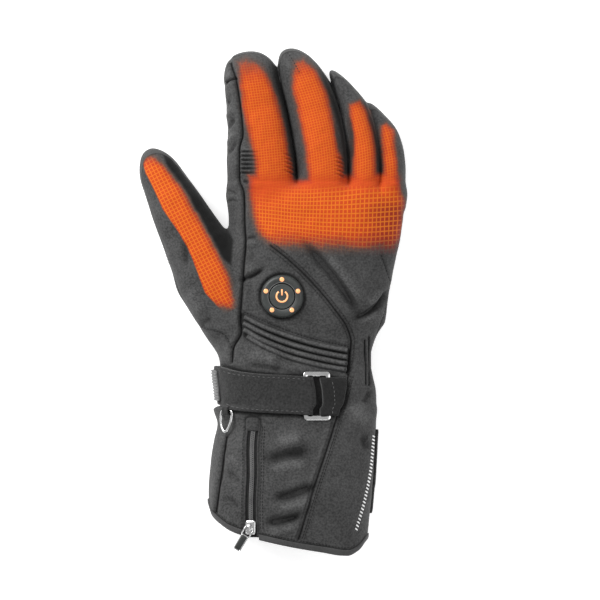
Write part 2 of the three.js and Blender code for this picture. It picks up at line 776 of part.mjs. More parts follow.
add("cuff_palm", largest(cuffShell.intersect(below)), PALM);

// Binding round the hem, open where the zip ends.
const bindingZone = prism(hemZone(0, bindingLength), underTable, tall);
const binding = cuff
  .outside(bindingSwell, { to: cuffEnd })
  .subtract(cuff.inside(cuffEnd + past / cuffLength, past, cuffWall + bindingSwell))
  .intersect(bindingZone)
  .subtract(slot);
add("hem_binding", largest(binding), WEB);

// Zip: a tape in the slot, the closed coil on it, and a cloth garage over its upper end.
const cuffSpan = { to: cuffEnd };
const tapeTop = -0.4;
const tapeStart = ZIP_START_ALONG + (2 * gap) / cuffLength;
const tapeOutline = ribbon(zipLine(tapeStart, cuffEnd), slotWidth - 2 * gap);
const hemSide = prism(hemZone(bindingLength + gap, cuffLength + past), underTable, tall);
add(
  "zip_tape",
  largest(cuff.layer(tapeOutline, tapeTop - tapeThickness, tapeTop, cuffSpan).intersect(hemSide)),
  WEB,
);
const coilLow = tapeTop + gap;
const coilTop = tapeTop + coilHeight;
const coilStart = GARAGE_ALONG + (garageLength / 2 + gap) / cuffLength;
const coilOutline = ribbon(zipLine(coilStart, cuffEnd), coilWidth);
add(
  "zip_coil",
  largest(cuff.layer(coilOutline, coilLow, coilTop, cuffSpan).intersect(hemSide)),
  WEB,
);
const garageMiddle = cuff.place(read(ZIP_ROWS, "across", GARAGE_ALONG), GARAGE_ALONG);
const garageOutline = rectangle(garageWidth / 2, garageLength / 2, garageWidth * 0.3).map(
  ([x, y]) => [x + garageMiddle[0], y + garageMiddle[1]],
);
add("zip_garage", cuff.layer(garageOutline, gap, gap + garageThickness, cuffSpan), CLOTH);

// Slider: a plate with an arched bridge, which holds the bar of the pull.
const sliderFrame = cuff.frameAt(read(ZIP_ROWS, "across", SLIDER_ALONG), SLIDER_ALONG);
const sliderLow = coilTop + gap;
const sliderTop = sliderLow + sliderThickness;
const pivotHeight = sliderTop + pullBarRadius + gap;
const bridgeTop = pivotHeight + pullBarRadius + gap + bridgeBar;
const bridgeHalf = bridgeRoom / 2 + bridgeBar;
const sliderPlate = placed(
  plate(rectangle(sliderWidth / 2, sliderLength / 2, sliderWidth * 0.25), [], sliderLow, sliderTop),
  sliderFrame,
);
const halfBridge = bridgeWidth / 2;
const bridge = placed(
  block(-halfBridge, halfBridge, -bridgeHalf, bridgeHalf, sliderTop - gap, bridgeTop),
  sliderFrame,
);
const underBridge = placed(
  block(-bridgeWidth, bridgeWidth, -bridgeRoom / 2, bridgeRoom / 2, sliderTop, bridgeTop - bridgeBar),
  sliderFrame,
);
add("zip_slider", sliderPlate.add(bridge.subtract(underBridge)), STEEL);

// Pull: a bar under the bridge, two arms, a yoke and the tab.
const pullFrame = sliderFrame
  .clone()
  .multiply(new THREE.Matrix4().makeTranslation(0, 0, pivotHeight))
  .multiply(new THREE.Matrix4().makeRotationZ(THREE.MathUtils.degToRad(-pullTurn)));
const armIn = pullArmSpread / 2;
const armOut = armIn + pullArmWidth;
const armHalf = pullArmWidth / 2;
const yokeStart = pullArmLength - pullArmWidth;
const pullBar = new THREE.CylinderGeometry(pullBarRadius, pullBarRadius, 2 * armOut, 12);
pullBar.rotateZ(Math.PI / 2);
const tabOutline = rectangle(pullTabWidth / 2, pullTabLength / 2, pullTabWidth * 0.2).map(
  ([x, y]) => [x, y - yokeStart - pullTabLength / 2],
);
const pullSolid = join([
  placed(pullBar, pullFrame),
  placed(block(-armOut, -armIn, -pullArmLength, armHalf, -armHalf, armHalf), pullFrame),
  placed(block(armIn, armOut, -pullArmLength, armHalf, -armHalf, armHalf), pullFrame),
  placed(block(-armOut, armOut, -pullArmLength, -yokeStart, -armHalf, armHalf), pullFrame),
  placed(plate(tabOutline, [], -pullTabThickness / 2, pullTabThickness / 2), pullFrame),
]);
add("zip_pull", pullSolid, STEEL);

// Ring for the strap: a flat frame that lies level with the cloth under it.
const ringHalfWidth = ringInnerWidth / 2 + ringBar;
const ringInnerLength = strapWidth + 2 * ringPlay;
const ringHalfLength = ringInnerLength / 2 + ringEndBar;
const ringFrame = cuff.frameAt(RING_ACROSS, RING_ALONG, ringHalfLength / cuffLength);
const ringLow = gap + (strapThickness - ringThickness) / 2;
function ringSolid(grow) {
  const outer = rectangle(ringHalfWidth + grow, ringHalfLength + grow, 2 + grow);
  const inner = rectangle(ringInnerWidth / 2 - grow, ringInnerLength / 2 - grow, 1);
  const low = ringLow - grow;
  return placed(plate(outer, [inner.reverse()], low, ringLow + ringThickness + grow), ringFrame);
}
add("strap_ring", ringSolid(0), STEEL);

// Strap and anchor: layers over the cuff, with a channel for the ring's bars.
const strapLine = (from, to) => {
  const inner = STRAP_ROWS.filter((r) => r.across > from && r.across < to).map((r) => r.across);
  return [from, ...inner, to].map((across) =>
    cuff.place(across, read(STRAP_ROWS, "along", across, "across")),
  );
};
const strapOutline = ribbon(strapLine(STRAP_ROWS[0].across, STRAP_FOLD_ACROSS), strapWidth);
const channel = ringSolid(gap);
add(
  "wrist_strap",
  largest(cuff.layer(strapOutline, gap, gap + strapThickness).subtract(channel)),
  WEB,
);
const anchorEdge = (across, side) => {
  const [x, y] = cuff.place(across, RING_ALONG);
  return [x, y + (side * strapWidth) / 2];
};
const anchorOutline = [
  anchorEdge(ANCHOR_START_ACROSS, -1),
  anchorEdge(ANCHOR_LOW_END_ACROSS, -1),
  anchorEdge(ANCHOR_TOP_END_ACROSS, 1),
  anchorEdge(ANCHOR_START_ACROSS, 1),
];
add(
  "strap_anchor",
  largest(cuff.layer(anchorOutline, gap, gap + anchorThickness).subtract(channel)),
  WEB,
);

// Ribbed grip on the free end of the strap, down the thumb's side of the cuff.
const tabLow = 2 * gap + strapThickness;
const tabSkin = cuff.outside(tabLow + tabThickness).subtract(cuff.outside(tabLow));
const [tabSide, tabMiddle] = cuff.place(TAB_ACROSS, STRAP_ROWS[0].along);
const tabZone = block(
  -wide,
  tabSide,
  tabMiddle - tabLength / 2,
  tabMiddle + tabLength / 2,
  seamHeight + 2,
  wristDepth,
);
add("strap_end_tab", largest(tabSkin.intersect(solidFrom(tabZone))), RUBBER);

// Clip ring under the strap, held by a loop of web on the side of the cuff.
const clipFrame = cuff.frameAt(CLIP_ACROSS, CLIP_ALONG);
const clipLow = gap + loopWall + gap;
function clipOutline(inset) {
  const half = clipWidth / 2 - inset;
  const high = clipBar - inset;
  const low = clipBar - clipLength + inset * 1.6;
  const shoulder = high - (high - low) * 0.42;
  return [
    [-half * 0.72, high],
    [-half, high - 1.6],
    [-half * 0.96, shoulder],
    [-half * 0.3, low + 0.6],
    [0, low],
    [half * 0.3, low + 0.6],
    [half * 0.96, shoulder],
    [half, high - 1.6],
    [half * 0.72, high],
  ].reverse();
}
const clipSolid = placed(
  plate(clipOutline(0), [clipOutline(clipBar).reverse()], clipLow, clipLow + clipThickness),
  clipFrame,
);
add("clip_ring", clipSolid, STEEL);
const loopHigh = clipLow + clipThickness + gap;
const loopEnd = clipBar + gap + loopWall;
const loopBody = placed(
  block(-loopWidth / 2, loopWidth / 2, -gap - loopWall, loopEnd, 0, loopHigh + loopWall),
  clipFrame,
);
const loopRoom = placed(
  block(-loopWidth, loopWidth, -gap, clipBar + gap, clipLow - gap, loopHigh),
  clipFrame,
);
add("clip_loop", largest(loopBody.subtract(loopRoom).subtract(cuffCutter)), WEB);

// Button: a round base with a raised rim, five lights in the rim, and a cap that presses in.
const buttonFrame = hand.frameAt(BUTTON_ACROSS, BUTTON_ALONG);
const buttonSides = 24;
const recess = capRadius + capClearance;
const recessFloor = buttonHeight - capThickness - capTravel - gap;
const baseProfile = [
  [0, -past],
  [buttonRadius - 0.6, -past],
  [buttonRadius, 0],
  [buttonRadius - 0.4, buttonHeight - 1],
  [buttonRadius - 1.5, buttonHeight],
  [(buttonRadius + recess) / 2, buttonHeight + rimCrown],
  [recess + 0.5, buttonHeight],
  [recess, buttonHeight - 0.5],
  [recess, recessFloor],
  [0, recessFloor],
].map(([r, z]) => new THREE.Vector2(r, z));
const upright = new THREE.Matrix4().makeRotationX(Math.PI / 2);
const baseLathe = new THREE.LatheGeometry(baseProfile, buttonSides).applyMatrix4(upright);
const lightOrbit = (buttonRadius + recess) / 2 - 0.3;
const lightPlaces = Array.from({ length: lightCount }, (_, i) => {
  const angle = Math.PI / 2 + (2 * Math.PI * i) / lightCount;
  return [lightOrbit * Math.cos(angle), lightOrbit * Math.sin(angle)];
});
const lightLow = buttonHeight + rimCrown + lightRise - lightHeight;
function disc([x, y], radius, low, high, topRadius = radius) {
  const geometry = new THREE.CylinderGeometry(topRadius, radius, high - low, 10);
  geometry.applyMatrix4(upright);
  geometry.translate(x, y, (low + high) / 2);
  return placed(geometry, buttonFrame);
}
const pockets = join(
  lightPlaces.map((place) => disc(place, lightRadius + gap, lightLow - gap, lightLow + past)),
);
const baseSolid = placed(baseLathe, buttonFrame).subtract(pockets).subtract(handCutter);
add("button_base", largest(baseSolid), RUBBER);
lightPlaces.forEach((place, i) => {
  const light = disc(place, lightRadius, lightLow, lightLow + lightHeight, 0.8 * lightRadius);
  add(`button_light_${i + 1}`, light, GLOW);
});
const capProfile = [
  [0, buttonHeight - capThickness],
  [capRadius, buttonHeight - capThickness],
  [capRadius, buttonHeight - 0.5],
  [capRadius - 0.5, buttonHeight - 0.1],
  [0, buttonHeight + 0.2],
].map(([r, z]) => new THREE.Vector2(r, z));
const capLathe = new THREE.LatheGeometry(capProfile, buttonSides).applyMatrix4(upright);
add("button_cap", placed(capLathe, buttonFrame), RUBBER);

// Flap down the outer side of the cuff, in two steps.
const flapSkin = cuff.outside(gap + flapThickness).subtract(cuff.outside(gap));
function flapZone(from, to, height) {
  const [, y0] = cuff.place(1, to);
  const [x, y1] = cuff.place(FLAP_START_ACROSS, from);
  return solidFrom(block(x, wide, y0, y1, seamHeight - height / 2, seamHeight + height / 2));
}
const flap = flapSkin.intersect(
  flapZone(FLAP_START_ALONG, FLAP_STEP_ALONG, flapHeight).add(
    flapZone(FLAP_STEP_ALONG - 0.01, FLAP_END_ALONG, flapTipHeight),
  ),
);
add("side_flap", largest(flap), CLOTH);

// The origin is the middle of the footprint, on the table.
const bounds = new THREE.Box3().setFromObject(group);
const middle = bounds.getCenter(new THREE.Vector3());
group.children.forEach((mesh) => mesh.position.set(-middle.x, -middle.y, -bounds.min.z));

export default group;
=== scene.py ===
import math

import bpy
import numpy as np
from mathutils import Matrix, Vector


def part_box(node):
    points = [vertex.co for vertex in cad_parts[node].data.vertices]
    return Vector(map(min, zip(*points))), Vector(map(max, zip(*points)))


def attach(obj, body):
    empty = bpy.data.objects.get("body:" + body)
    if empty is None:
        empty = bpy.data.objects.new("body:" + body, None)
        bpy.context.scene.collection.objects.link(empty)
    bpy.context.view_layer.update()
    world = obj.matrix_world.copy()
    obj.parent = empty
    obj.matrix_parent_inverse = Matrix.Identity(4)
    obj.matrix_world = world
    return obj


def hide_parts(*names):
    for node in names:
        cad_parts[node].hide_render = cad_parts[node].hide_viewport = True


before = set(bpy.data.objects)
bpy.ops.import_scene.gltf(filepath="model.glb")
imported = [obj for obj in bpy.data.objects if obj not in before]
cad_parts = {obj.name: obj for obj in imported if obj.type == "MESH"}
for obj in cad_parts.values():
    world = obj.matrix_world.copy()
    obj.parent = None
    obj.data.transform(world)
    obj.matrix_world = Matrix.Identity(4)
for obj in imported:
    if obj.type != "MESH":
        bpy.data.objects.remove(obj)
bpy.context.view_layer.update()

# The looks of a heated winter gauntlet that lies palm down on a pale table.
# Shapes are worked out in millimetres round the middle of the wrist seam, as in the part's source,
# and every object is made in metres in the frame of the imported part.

import openvdb
from mathutils import Vector
from mathutils.bvhtree import BVHTree

# Sizes of the soft shell
HAND_LENGTH = 122
HAND_WIDTH = 116
HAND_DEPTH = 47
WRIST_WIDTH = 99
CUFF_LENGTH = 122
CUFF_WIDTH = 108
CUFF_DEPTH = 66
CUFF_WALL = 3.2
SEAM_HEIGHT = 18
TABLE_SINK = 6
SQUARENESS = 2.5
FINGER_SQUARENESS = 2.3
TILT = 0.07
BELT = 0.42
GAP = 0.35

# Trim
BINDING_LENGTH = 3.8
BINDING_SWELL = 0.9
STRAP_WIDTH = 25
STRAP_THICKNESS = 3.8
ANCHOR_THICKNESS = 3.6
TAB_THICKNESS = 1.8
TAB_LENGTH = 20
RING_INNER_WIDTH = 12.4
RING_BAR = 2.6
RING_END_BAR = 3.1
RING_THICKNESS = 1.6
RING_PLAY = 0.5
SLOT_WIDTH = 8.4
TAPE_TOP = -0.4
COIL_HEIGHT = 1.1
GARAGE_LENGTH = 9.5
GARAGE_WIDTH = 9.4
GARAGE_THICKNESS = 1.7
SLIDER_LENGTH = 9
SLIDER_WIDTH = 6.6
SLIDER_THICKNESS = 1.5
BRIDGE_BAR = 0.8
BRIDGE_ROOM = 3.8
PULL_BAR_RADIUS = 0.7
PULL_ARM_WIDTH = 0.8
PULL_ARM_SPREAD = 4.8
PULL_ARM_LENGTH = 6.6
PULL_TAB_LENGTH = 11.4
PULL_TAB_WIDTH = 5.2
PULL_TAB_THICKNESS = 1.6
PULL_TURN = 31
CLIP_WIDTH = 10.5
CLIP_LENGTH = 16
CLIP_BAR = 1.7
CLIP_THICKNESS = 1.6
LOOP_WIDTH = 4.6
LOOP_WALL = 0.8
BUTTON_RADIUS = 14
BUTTON_HEIGHT = 3.8
RIM_CROWN = 0.4
CAP_RADIUS = 8.2
CAP_CLEARANCE = 0.4
LIGHT_COUNT = 5
LIGHT_RADIUS = 1.5
LIGHT_RISE = 0.2
FLAP_THICKNESS = 1.6
FLAP_HEIGHT = 20
FLAP_TIP_HEIGHT = 11

# Sections as shares of those sizes: along, spread, lean, then top and lift or swell
HAND_ROWS = np.array([
    (0.0, 0.0, 0.0, 1.06, 0), (0.07, 0.0, 0.0, 1.03, 0), (0.14, 0.13, 0.009, 1.0, 0),
    (0.2, 0.3, 0.029, 0.99, 0), (0.25, 0.47, 0.049, 0.99, 0), (0.37, 0.55, 0.061, 1.0, 0),
    (0.52, 0.63, 0.084, 1.0, 0), (0.61, 0.73, 0.096, 1.0, 0), (0.69, 0.82, 0.108, 0.99, 0),
    (0.85, 0.92, 0.12, 0.94, 0), (0.92, 0.95, 0.122, 0.88, 0.01), (0.965, 0.82, 0.122, 0.8, 0.05),
    (1.0, 0.5, 0.122, 0.62, 0.2),
])
CUFF_ROWS = np.array([
    (0.0, 0.0, 0.0, 0.0), (0.06, 0.11, 0.011, 0.05), (0.12, 0.18, 0.024, 0.1),
    (0.19, 0.16, 0.029, 0.17), (0.22, 0.9, 0.0, 0.24), (0.3, 0.55, 0.008, 0.4),
    (0.39, 0.73, -0.006, 0.58), (0.49, 0.88, -0.018, 0.74), (0.6, 0.93, -0.027, 0.88),
    (0.71, 0.82, -0.034, 0.95), (0.82, 0.55, -0.036, 0.98), (0.92, 0.23, -0.036, 1.0),
    (1.0, 0.07, -0.036, 1.0),
])
HEM_ROWS = np.array([
    (-1.2, 0.68), (-1.0, 0.73), (-0.96, 0.79), (-0.87, 0.83), (-0.74, 0.868), (-0.43, 0.909),
    (0.09, 0.957), (0.46, 0.982), (0.75, 1.0), (0.89, 0.973), (0.99, 0.92), (1.2, 0.86),
])
STRAP_ROWS = np.array([
    (-1.25, 0.076), (-1.01, 0.09), (-0.75, 0.118), (-0.5, 0.13), (0.02, 0.142), (0.19, 0.146),
    (0.66, 0.148),
])
ZIP_ROWS = np.array([
    (0.27, -0.555), (0.39, -0.522), (0.6, -0.475), (0.87, -0.485), (1.05, -0.5),
])
ZIP_START = 0.3
GARAGE_ALONG = 0.297
SLIDER_ALONG = 0.845
STRAP_FOLD = 0.205
RING_PLACE = (0.22, 0.15)
ANCHOR_START = 0.3
ANCHOR_TOP_END = 0.61
ANCHOR_LOW_END = 0.49
TAB_ACROSS = -0.95
CLIP_PLACE = (-0.815, 0.235)
BUTTON_PLACE = (-0.285, 0.385)

# Fingers: along, width, top
INDEX_ROWS = np.array([
    (-0.16, 0.95, 1.0), (0.0, 1.09, 1.1), (0.22, 1.08, 1.05), (0.43, 0.97, 0.97),
    (0.66, 0.9, 0.86), (0.83, 0.84, 0.8), (1.0, 0.78, 0.74),
])
MIDDLE_ROWS = np.array([
    (-0.16, 0.9, 1.0), (0.0, 1.0, 1.08), (0.25, 1.0, 1.04), (0.4, 0.98, 0.98),
    (0.55, 0.93, 0.91), (0.7, 0.87, 0.84), (0.85, 0.79, 0.78), (1.0, 0.72, 0.72),
])
RING_ROWS = np.array([
    (-0.16, 0.95, 1.0), (0.0, 1.0, 1.08), (0.3, 1.0, 1.02), (0.54, 0.87, 0.92),
    (0.64, 0.76, 0.86), (0.81, 0.55, 0.76), (1.0, 0.42, 0.66),
])
LITTLE_ROWS = np.array([
    (-0.2, 0.6, 1.0), (0.0, 1.0, 1.1), (0.4, 1.0, 1.0), (0.58, 0.94, 0.92),
    (0.69, 0.84, 0.86), (0.83, 0.63, 0.8), (1.0, 0.42, 0.74),
])
THUMB_ROWS = np.array([
    (-0.22, 0.78, 0.8), (-0.12, 1.12, 1.0), (0.0, 1.24, 1.15), (0.15, 1.3, 1.15),
    (0.25, 1.34, 1.12), (0.38, 1.18, 1.04), (0.54, 1.03, 0.95), (0.68, 0.91, 0.86),
    (0.78, 0.8, 0.77), (0.9, 0.68, 0.67), (1.0, 0.55, 0.6),
])
# name, across, along, lean in degrees, length, width, depth, bow, length of the rounded tip, rows
STALLS = [
    ("index_finger", -0.617, 0.957, 7, 92, 43, 35, 0.024, 0.2, INDEX_ROWS),
    ("middle_finger", 0.073, 0.957, 14, 96, 36.5, 36, 0.07, 0.3, MIDDLE_ROWS),
    ("ring_finger", 0.544, 0.957, 15.2, 82, 26, 33, 0.106, 0.36, RING_ROWS),
    ("little_finger", 0.846, 0.957, 13.3, 59, 21, 30, 0.08, 0.42, LITTLE_ROWS),
    ("thumb", -0.83, 0.27, 27.8, 125, 38, 36, -0.006, 0.17, THUMB_ROWS),
]

# Places in the photograph, in its pixels
PIXEL = 0.656  # millimetres to a pixel
PHOTO_SIZE = 600
WRIST_PX = (295.5, 368)
# Seams: groove depth, groove width, how far the cloth puffs up beside it, and the line
SEAMS = {
    "back": (1.5, 1.0, 0.7, [
        (230, 51.5), (230.8, 63), (236, 80), (240.5, 109), (242.8, 135), (239.4, 149),
        (239.4, 178), (244, 195), (245, 229.5), (245.7, 241), (244, 266), (241.7, 300.7),
        (240.5, 319), (241.5, 331), (233, 350.6), (232.5, 362),
    ]),
    "gusset": (0.5, 0.8, 0.2, [(161, 240), (182, 298), (198, 325), (225, 335), (233, 349)]),
    "sweep": (0.9, 0.9, 0.5, [
        (271, 246), (291.4, 262.4), (317, 288), (334.8, 309.6), (347.5, 328.8), (351, 341.6),
        (349, 359.5), (346.7, 373),
    ]),
    "cuff": (0.9, 0.9, 0.5, [
        (348, 374), (343, 396), (336, 418), (330, 438), (316, 480), (310.7, 497),
        (302, 526.6), (298.5, 537),
    ]),
    "outer": (0.4, 0.7, 0.2, [
        (380.7, 254.8), (388.4, 277.8), (391, 290.5), (383.7, 313.6), (376, 336.5),
    ]),
    "wrist": (0.8, 0.8, 0.4, [(369, 337), (368.5, 360), (369, 385)]),
    "tuck": (0.8, 0.7, 0.3, [(364.5, 340), (364.8, 362), (365.4, 384)]),
    "thumb_side": (1.2, 0.9, 0.6, [(227, 436), (223, 466), (216.6, 511)]),
    "rib": (0.4, 0.7, 0.1, [
        (243.4, 311.5), (263.8, 321), (289.3, 331), (314.8, 339), (349, 346.5),
    ]),
    "middle": (0.15, 0.8, 0.1, [(283, 50), (290, 60), (298.5, 75)]),
    "index": (1.3, 0.8, 0.6, [(223.5, 87), (228, 81.5), (236, 79)]),
}
WRIST_RIBS = [
    [(243, 315.5), (262, 325.5), (289, 336), (318, 344.5), (348, 350.5)],
    [(242, 321.5), (262, 332.5), (289, 343.3), (318, 351.5), (348, 357.5)],
    [(242.5, 328), (262, 339.5), (289, 350.3), (318, 358), (347.5, 364)],
    [(246, 335), (264, 346), (289, 356.8), (318, 364.5), (347, 370)],
]
# Folds and swells of the cloth: height in millimetres, width in millimetres, line
FOLDS = [
    (-2.6, 2.7, [(301, 240), (316, 256), (331, 273), (346, 293), (363, 320)]),
    (1.3, 4.0, [(322, 252), (340, 272), (356, 296), (366, 306)]),
    (-2.1, 2.1, [(351, 320), (364, 315), (376, 306), (391, 287)]),
    (1.2, 2.4, [(366, 306), (375, 300), (383, 290)]),
    (1.0, 3.0, [(360, 322), (372, 318), (384, 308)]),
    (-1.6, 1.5, [(238, 282), (252, 276), (266, 268)]),
    (0.8, 3.0, [(246, 272), (256, 268)]),
    (-0.7, 1.2, [(246, 240), (257, 237)]),
    (0.7, 2.0, [(246, 245), (258, 243)]),
    (1.3, 5.0, [(278, 445), (290, 440), (304, 438)]),
    (1.2, 4.5, [(270, 471), (286, 466), (311, 462)]),
    (-1.7, 4.0, [(262, 460), (288, 453), (314, 450)]),
    (-2.4, 3.0, [(273, 497), (288, 494), (302, 489), (318, 484)]),
    (1.5, 3.4, [(275, 508), (292, 505), (312, 498)]),
    (-2.2, 2.8, [(264, 521), (280, 519), (294, 515), (303, 510)]),
    (0.9, 3.0, [(268, 530), (285, 528), (297, 524)]),
    (-0.7, 2.0, [(228, 470), (236, 476), (243, 482)]),
    (-0.7, 2.0, [(224, 495), (232, 499), (241, 508)]),
    (0.8, 3.0, [(229, 455), (238, 461), (244, 468)]),
    (-1.0, 2.0, [(362, 404), (366, 398), (370, 388)]),
    (1.4, 5.0, [(354, 402), (357, 415), (364, 425)]),
    (-1.2, 3.0, [(362, 432), (366, 445), (371, 440)]),
    (-0.9, 1.5, [(218, 112), (226, 105), (231, 98)]),
    (-0.9, 1.5, [(221, 134), (230, 126), (236, 117)]),
    (-0.8, 1.5, [(224, 156), (232, 150), (238, 141)]),
    (0.8, 2.0, [(222, 122), (229, 115), (234, 107)]),
    (0.8, 2.0, [(225, 146), (232, 139), (237, 131)]),
    (-0.7, 1.2, [(222, 190), (231, 192), (238, 196)]),
    (-0.6, 1.2, [(224, 205), (232, 201), (240, 203)]),
    (-0.9, 1.2, [(244, 181), (247, 183), (249, 184)]),
    (-1.0, 2.0, [(183, 240), (186, 252), (187, 268)]),
    (-0.8, 2.0, [(196, 330), (206, 322), (214, 318)]),
    (1.0, 5.0, [(190, 285), (196, 300), (206, 315)]),
    (1.2, 6.0, [(250, 352), (262, 358), (280, 364)]),
    (-0.9, 2.4, [(243, 364), (262, 366), (290, 371)]),
    (-1.0, 2.0, [(344, 110), (349, 125), (351, 145), (350, 170)]),
    (-0.8, 1.6, [(336, 120), (340, 140), (344, 160)]),
    (0.7, 2.0, [(340, 112), (345, 130), (347, 150)]),
]
RIB_PITCH = 4.4
RIB_HEIGHT = 2.8
FOLD_GAIN = 1.8
FOLD_SHADE = 1.0
VALLEYS = [
    [(274, 58), (276, 75), (283, 100), (289, 125), (292, 145), (296, 165), (298, 181)],
    [(322, 70), (328, 88), (334, 104), (341, 128), (345, 150), (346.5, 168), (347, 180)],
    [(366, 104), (370, 118), (375, 136), (379, 160), (380, 178)],
]
KNUCKLE_CREASES = [
    [(238, 153 + 4.1 * i), (247, 152.4 + 4.2 * i), (262, 153 + 4.3 * i)] for i in range(6)
] + [
    [(297, 160 + 4.1 * i), (290, 156 + 4.1 * i), (280, 153 + 4.1 * i)] for i in range(5)
] + [
    [(346, 162 + 4.1 * i), (340, 159 + 4.1 * i), (332, 157 + 4.1 * i)] for i in range(5)
]

# Heated zones, as outlines
KNUCKLE_ZONE = [
    (246, 172), (247, 200), (251, 222), (258, 240), (272, 252), (300, 259), (345, 262),
    (398, 259), (405, 235), (407, 200), (402, 172), (385, 168), (350, 172), (300, 176), (262, 172),
]
FINGER_ZONES = {
    "index_finger": [
        (233, 60), (236, 70), (240, 98), (243, 123), (249, 143), (253, 165), (255, 196),
        (298, 196), (294, 165), (290, 143), (285, 123), (279, 98), (271, 76), (260, 60), (245, 54),
    ],
    "middle_finger": [
        (291, 58), (291, 90), (296, 115), (301, 140), (305, 165), (306, 196), (347, 196),
        (344, 165), (339, 140), (334, 115), (328, 90), (318, 68), (304, 55),
    ],
    "ring_finger": [
        (348, 104), (348, 123), (350, 148), (352, 196), (379, 196), (378, 157), (376, 132),
        (371, 110), (360, 99),
    ],
    "little_finger": [
        (379, 124), (380, 157), (381, 196), (401, 196), (399, 160), (395, 130), (387, 120),
    ],
}
THUMB_SHARP_EDGE = [
    (139, 152), (145, 173), (155, 193), (163, 210), (180, 235), (192, 258), (200, 280),
    (205, 293), (224, 315),
]
THUMB_SOFT_EDGE = [
    (240, 306), (236, 280), (228, 262), (214, 235), (195, 202), (177, 172), (158, 150), (147, 145),
]
THUMB_LEATHER = [
    (150, 136), (160, 150), (169, 172), (186, 200), (203, 232), (218, 256), (232, 266),
    (234, 240), (222, 215), (190, 160), (160, 130),
]
FINGER_PITCH = 1.75
THUMB_PITCH = 2.4

# The grid that the shell is worked out on, and how softly its parts run into each other
VOXEL = 1.0
FIELD_LIMIT = 14.0
STALL_BLEND = 2.4
HAND_BLEND = 7
THUMB_BLEND = 5
BASE_BLEND = 1.6
CREASE_DEPTH = 1.3
LINING_DEPTH = 3.4

# Lines, and the stitches along them
LINE_STEP = 1.5
STITCH_LENGTH = 1.3
STITCH_SPACE = 0.8
STITCH_RADIUS = 0.34
STITCH_SINK = 0.05
SEAM_RADIUS = 0.42

# Marks of points that stay on a cut
SEAM_PIN, HEM_PIN, ZIP_PIN = 1, 2, 4


# Curves and small numeric helpers


def lerp(a, b, t):
    return a + (b - a) * t


def smoothstep(low, high, value):
    t = np.clip((value - low) / (high - low), 0, 1)
    return t * t * (3 - 2 * t)


def bell(value, width, middle=0.0):
    """One at the middle, and next to nothing two widths away from it."""
    return np.exp(-(((value - middle) / width) ** 2))


def squared(value, squareness):
    return np.sign(value) * np.abs(value) ** (2 / squareness)


def curve(xs, ys):
    """A smooth line through the rows of a table, which never passes beyond them."""
    xs, ys = np.asarray(xs, float), np.asarray(ys, float)
    steps = np.diff(xs)
    rises = np.diff(ys) / steps
    slopes = np.zeros(len(xs))
    same = rises[1:] * rises[:-1] > 0
    with np.errstate(divide="ignore", invalid="ignore"):
        mean = 2 * rises[1:] * rises[:-1] / (rises[1:] + rises[:-1])
    slopes[1:-1] = np.where(same, mean, 0)
    slopes[0], slopes[-1] = rises[0], rises[-1]

    def value(t):
        t = np.clip(t, xs[0], xs[-1])
        i = np.clip(np.searchsorted(xs, t, side="right") - 1, 0, len(xs) - 2)
        u = (t - xs[i]) / steps[i]
        ends = ys[i] * (1 + 2 * u) * (1 - u) ** 2 + ys[i + 1] * u * u * (3 - 2 * u)
        bends = slopes[i] * u * (1 - u) ** 2 - slopes[i + 1] * u * u * (1 - u)
        return ends + steps[i] * bends

    return value


def columns(rows):
    return [curve(rows[:, 0], rows[:, i]) for i in range(1, rows.shape[1])]


def smooth_min(a, b, k):
    h = np.clip(0.5 + 0.5 * (b - a) / k, 0, 1)
    return lerp(b, a, h) - k * h * (1 - h)


def smooth_max(a, b, k):
    return -smooth_min(-a, -b, k)


# The frame: where the wrist seam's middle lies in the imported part

cuff_low, cuff_high = [np.array(corner) * 1000 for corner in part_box("cuff_back")]
hand_low, _ = [np.array(corner) * 1000 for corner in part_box("hand_back")]
cuff_widths = WRIST_WIDTH + (CUFF_WIDTH - WRIST_WIDTH) * CUFF_ROWS[:, 1]
cuff_side = np.min((CUFF_ROWS[:, 2] - 0.5) * cuff_widths)
ORIGIN = np.array([cuff_low[0] - cuff_side, (hand_low[1] + cuff_high[1]) / 2, 0])


def metres(points):
    return (np.asarray(points, float) + ORIGIN) / 1000


def photo(points):
    """Plan places of photograph pixels."""
    p = np.asarray(points, float)
    return np.stack([(p[:, 0] - WRIST_PX[0]) * PIXEL, (WRIST_PX[1] - p[:, 1]) * PIXEL], axis=1)


# The hand and cuff as one body of sections across the glove

hand_spread, hand_lean, hand_top, hand_lift = columns(HAND_ROWS)
cuff_spread, cuff_lean, cuff_swell = columns(CUFF_ROWS)
WRIST_DEPTH = hand_top(0) * HAND_DEPTH


def section(y):
    """Centre, half width, top and lift at a place along the glove."""
    y = np.asarray(y, float)
    a = np.where(y >= 0, y / HAND_LENGTH, -y / CUFF_LENGTH)
    on_hand = y >= 0
    width_hand = lerp(WRIST_WIDTH, HAND_WIDTH, hand_spread(a))
    width_cuff = lerp(WRIST_WIDTH, CUFF_WIDTH, cuff_spread(a))
    width = np.where(on_hand, width_hand, width_cuff)
    lean = np.where(on_hand, hand_lean(a), cuff_lean(a))
    top = np.where(on_hand, hand_top(a) * HAND_DEPTH, lerp(WRIST_DEPTH, CUFF_DEPTH, cuff_swell(a)))
    lift = np.where(on_hand, hand_lift(a) * HAND_DEPTH, 0)
    return lean * width, width / 2, top, lift


def place(across, y):
    centre, half, _, _ = section(y)
    return centre + across * half


